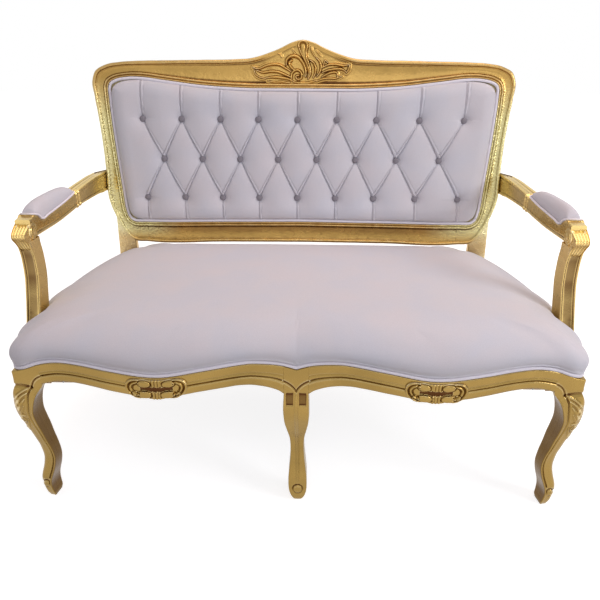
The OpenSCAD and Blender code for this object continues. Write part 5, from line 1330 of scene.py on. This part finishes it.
def tuftLines(X, up):  # the pleats' two families, each as places across and what is a pleat
    t = np.clip((up - tuft["rowBase"]) / tuft["rowPitch"], 0, 2)
    c = np.interp(X, columnPlace, np.arange(9) - 4)
    beyond = np.minimum(X - columnPlace[0], 0) + np.maximum(X - columnPlace[-1], 0)
    c = c + beyond / tuft["columnPitch"]
    a, b = c + t / 2, c - t / 2
    upright = (t <= 0) | (t >= 2)
    isA = np.where(upright, np.abs(c) < 4.5, (a > -3.5) & (a < 4.5))
    isB = np.where(upright, np.abs(c) < 4.5, (b > -4.5) & (b < 3.5))
    return t, a, b, upright, isA, isB


def nearButton(X, up):  # distance to the nearest button
    return np.min([np.hypot(X - x, up - s) for x, s in buttonSpots], axis=0)


def coverEnds(U):  # foot and head of the cover's field at a share across
    foot, head = (sofa["panelHeight"] * readCurve(tuft[end], U) for end in ("foot", "head"))
    return foot + coverSet, head - coverSet


def tuftRelief(X, up, U):  # how far the buttoned face stands out of the frame
    t, a, b, upright, isA, isB = tuftLines(X, up)
    v = np.where(isA, np.abs(np.sin(pi * a)), 1) * np.where(isB, np.abs(np.sin(pi * b)), 1)
    puff = 1 - tuft["pleat"] * (1 - v ** 0.45)
    near = nearButton(X, up)
    pit = tuft["pit"] * (0.5 * hump(near, 0, 13) + 0.5 * hump(near, 0, 30))
    foot, head = coverEnds(U)
    d = np.minimum(openHalf(up) - coverSet - np.abs(X), np.minimum(up - foot, head - up))
    edge = ramp(d, 0, tuft["edgeReach"] * tuft["rowPitch"])
    return tuft["rise"] * (np.sqrt(1 - (1 - edge) ** 2) * puff - pit)


def pleatFolds(X, up):  # the folded fullness: a crease with a flat fold of cloth beside it
    t, a, b, upright, isA, isB = tuftLines(X, up)
    beyond = np.maximum(tuft["rowBase"] - up, up - tuft["rowBase"] - 2 * tuft["rowPitch"])
    down = 1 - t % 1
    narrow, broad = tuft["fold"]
    wide = np.where(upright, narrow + 0.07 * beyond, narrow + (broad - narrow) * down)
    total = np.zeros(X.shape)
    for way, lines, real in ((1, a, isA), (-1, b, isB & ~upright)):
        d = (lines - np.round(lines)) * way
        d *= np.where(upright, tuft["columnPitch"], tuft["slantPitch"])
        fold = tuft["foldRise"] * np.sin(pi * ramp(d, 0, wide)) ** 0.7
        fold -= tuft["crease"] * hump(d, 0, 1.8)
        fold -= 0.5 * tuft["crease"] * hump(d, wide, 1.5)
        total += fold * real
    total = total * ramp(nearButton(X, up), 5, 6)
    for deep, (x, s) in zip(tuft["gather"], buttonSpots[9:17]):
        for turn, length in tuft["gatherLines"]:
            along = (up - s) * cos(radians(turn)) + (X - x) * sin(radians(turn))
            off = (X - x) * cos(radians(turn)) - (up - s) * sin(radians(turn))
            fade = ramp(along, 8, 8) * ramp(along, length, -22)
            total -= deep * fade * hump(off, 0, 1.9)
    return total


def backCover():
    P, Q = np.meshgrid(np.linspace(-1, 1, tuft["grid"][0]), np.linspace(0, 1, tuft["grid"][1]),
                       indexing="ij")
    U = np.abs(P)
    foot, head = coverEnds(U)
    up = foot + (head - foot) * Q
    X = P * (openHalf(up) - coverSet)
    front = onBack(X, up, -tuftRelief(X, up, U) - pleatFolds(X, up))
    n, m = X.shape
    number = np.arange(n * m).reshape(n, m)
    quads = np.stack([number[:-1, :-1], number[1:, :-1], number[1:, 1:], number[:-1, 1:]], -1)
    around = np.concatenate([number[:, 0], number[-1, 1:], number[-2::-1, -1],
                             number[0, -2:0:-1]]).tolist()
    rear = onBack(X, up, tuft["turnBack"]).reshape(-1, 3)[around]
    k = len(around)
    faces = [tuple(q) for q in quads.reshape(-1, 4).tolist()]
    for i in range(k):
        j = (i + 1) % k
        faces.append((around[j], around[i], n * m + i, n * m + j))
        faces.append((n * m + j, n * m + i, n * m + k))
    return np.vstack([front.reshape(-1, 3), rear, rear.mean(0)]), faces


piece = makePiece("tuftedBackCover", backCover(), suedeCloth, "suede_cloth", "tufted_back_cover")
markHollows(piece, 6)


def button(x, up):
    base = tuft["rise"] * (tuft["pit"] - 1 + tuft["pleat"])
    turn = np.arange(28) * 2 * pi / 28
    rings = []
    for share, height in tuft["buttonRows"]:
        r = tuft["button"] * share
        rings.append(onBack(x + r * np.cos(turn), up + r * np.sin(turn),
                            base - tuft["button"] * height))
    return skin(rings)


makePiece("backButtons", joined(*[button(x, up) for x, up in buttonSpots]), shadedButtonCloth,
          "suede_cloth", "back_buttons")


def pipeLoop(behind, inset):
    rows = rimLine[:-1, :2]
    return onBack(*(rows - outward(rows) * inset).T, behind)


for name, behind, node in (("backPiping", backPipe / 2, "back_piping"),
                           ("outsideBackPiping", sofa["frameDepth"], "outside_back_piping")):
    cord = tube(pipeLoop(behind, backPipe + 0.3), backPipe)
    makePiece(name, cord, litPipingCloth, "piping_cloth", node)

outside = {"rim": [(8.6, 27.4), (8.6, 31), (9.4, 32), (14, 32.3)],  # inwards and backwards
           "field": [(40, 32.8), (120, 33.2)], "reach": 220, "middle": 0.48}


def outsideCover():
    rings = [pipeLoop(behind, inset) for inset, behind in outside["rim"]]
    mid = outside["middle"] * sofa["panelHeight"]
    for inset, behind in outside["field"]:
        scale = 1 - inset / outside["reach"]
        rings.append(onBack(rimLine[:-1, 0] * scale, mid + (rimLine[:-1, 1] - mid) * scale,
                            behind))
    return skin(rings)


makePiece("outsideBackCover", outsideCover(), suedeCloth, "suede_cloth", "outside_back_cover")
print("back is made")

# Arm pads: crowned cloth pads that wrap over the arm's sides, with a thin piping
pads = {"from": 0.065, "to": 0.495, "half": 0.84 * sofa["armHalf"], "pipe": 2.5,
        "pressure": 3, "cap": 2.5,
        "rows": [(0, 0.8, 0.22), (0.04, 0.93, 0.55), (0.12, 1, 0.82), (0.28, 1.02, 0.97),
                 (0.5, 1.02, 1), (0.72, 1, 0.97), (0.87, 0.99, 0.88), (0.96, 0.95, 0.68),
                 (1, 0.84, 0.34)],
        "section": [(0.94, 0), (1, 0.14), (1.05, 0.42), (0.92, 0.72), (0.6, 0.92), (0.22, 1)]}


def padPlace(share):
    return pads["from"] + share * (pads["to"] - pads["from"])


def armPad():
    right = pads["section"]
    section = smoothPath(right + [(-x, z) for x, z in reversed(right)], 4)
    floorLine = np.linspace(section[-1, 0], section[0, 0], 12)[1:-1]
    section = np.vstack([section, np.column_stack([floorLine, np.zeros(10)])])
    rings = []
    for share, wide, high in smoothPath(pads["rows"], 7):
        a = padPlace(share)
        z = float(armTop(a)) + 0.3
        top = float(armLine(a)) + high * sofa["padHeight"]
        rings.append(np.column_stack([armX(a) + section[:, 0] * wide * pads["half"],
                                      np.full(len(section), legLine + armY(a)),
                                      z + section[:, 1] * (top - z)]))
    rings = np.array(rings)
    held = np.tile(section[:, 1] < 0.1, (len(rings), 1)).astype(float)
    rings = blown(rings, held, pads["pressure"], pads["cap"])
    return skin(finer(rings))


def padPipe():
    edges = {-1: [], 1: []}
    out = pads["pipe"] + 0.3
    last = len(pads["rows"]) - 1
    for i, (share, wide, high) in enumerate(pads["rows"]):
        a, end = padPlace(share), -1 if i == 0 else 1 if i == last else 0
        for way in (-1, 1):
            edges[way].append((armX(a) + way * (wide * pads["half"] + out),
                               legLine + armY(a) + end * out, armTop(a) + pads["pipe"] + 0.3))
    path = smoothPath(np.array(edges[1] + edges[-1][::-1], float), 5, loop=True)
    return tube(path, pads["pipe"], 10)


pad = armPad()
for side, turn in sides.items():
    piece = makePiece(side + "ArmPad", turn(pad), suedeCloth, "suede_cloth", side + "_arm_pad")
    makePiece(side + "ArmPadPiping", turn(padPipe()), litPipingCloth, "piping_cloth",
              side + "_arm_pad_piping")
print("arm pads are made")

# Dust cover stretched under the frame, and finishes for the makings that stay as they are
dust = {"gap": 0.06 * sofa["post"], "in": 0.3 * sofa["sideRail"], "front": 1.22 * sofa["railBack"]}


def dustCover():
    gap, into, half = dust["gap"], dust["in"], sofa["centrePost"] / 2
    right = [(half + gap, sofa["centreDepth"] - sofa["faceSet"] + gap), (half + gap, dust["front"]),
             (postIn - gap, dust["front"]), (postIn - gap, sideFrom + gap),
             (float(sideFace(sideFrom)) - into, sideFrom + gap),
             (float(sideFace(seatMid)) - into, seatMid), (stileOut - into, sideTo - gap),
             (stileIn - gap, sideTo - gap), (stileIn - gap, stileFront + sofa["stileDepth"] - gap)]
    loop = np.array(right + [(-x, y) for x, y in reversed(right)])
    rows = [np.column_stack([loop[:, 0], legLine + loop[:, 1], np.full(len(loop), z)])
            for z in (underside - 0.9, underside - 0.1)]
    n = len(loop)
    faces = [(i, (i + 1) % n, n + (i + 1) % n, n + i) for i in range(n)]
    faces += [tuple(range(n - 1, -1, -1)), tuple(range(n, 2 * n))]
    x, y = loop.T
    area = abs(np.dot(x, np.roll(y, -1)) - np.dot(y, np.roll(x, -1))) / 2
    return (np.vstack(rows), faces), area


part, area = dustCover()
piece = makePiece("seatDustCover", part, plain["blackCambric"], "dust_cloth", "seat_dust_cover")

finishes = [(giltOchre, ["rear_seat_rail"]),
            (plain["sawnBeech"], ["cross_bearer", "corner_braces", "seat_frame_dowels",
                                  "back_frame_dowels", "arm_dowels", "back_board"]),
            (plain["zincSteel"], ["brace_screws", "arm_support_screws", "twine_washers"]),
            (plain["juteCanvas"], ["front_to_back_webbing", "side_to_side_webbing",
                                   "seat_hessian"]),
            (plain["cutFoam"], ["seat_foam", "back_foam"]),
            (plain["waxedTwine"], ["button_twines"])]
for look, nodes in finishes:
    for node in nodes:
        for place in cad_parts[node].material_slots:
            place.material = look
print("dust cover and finishes are set")
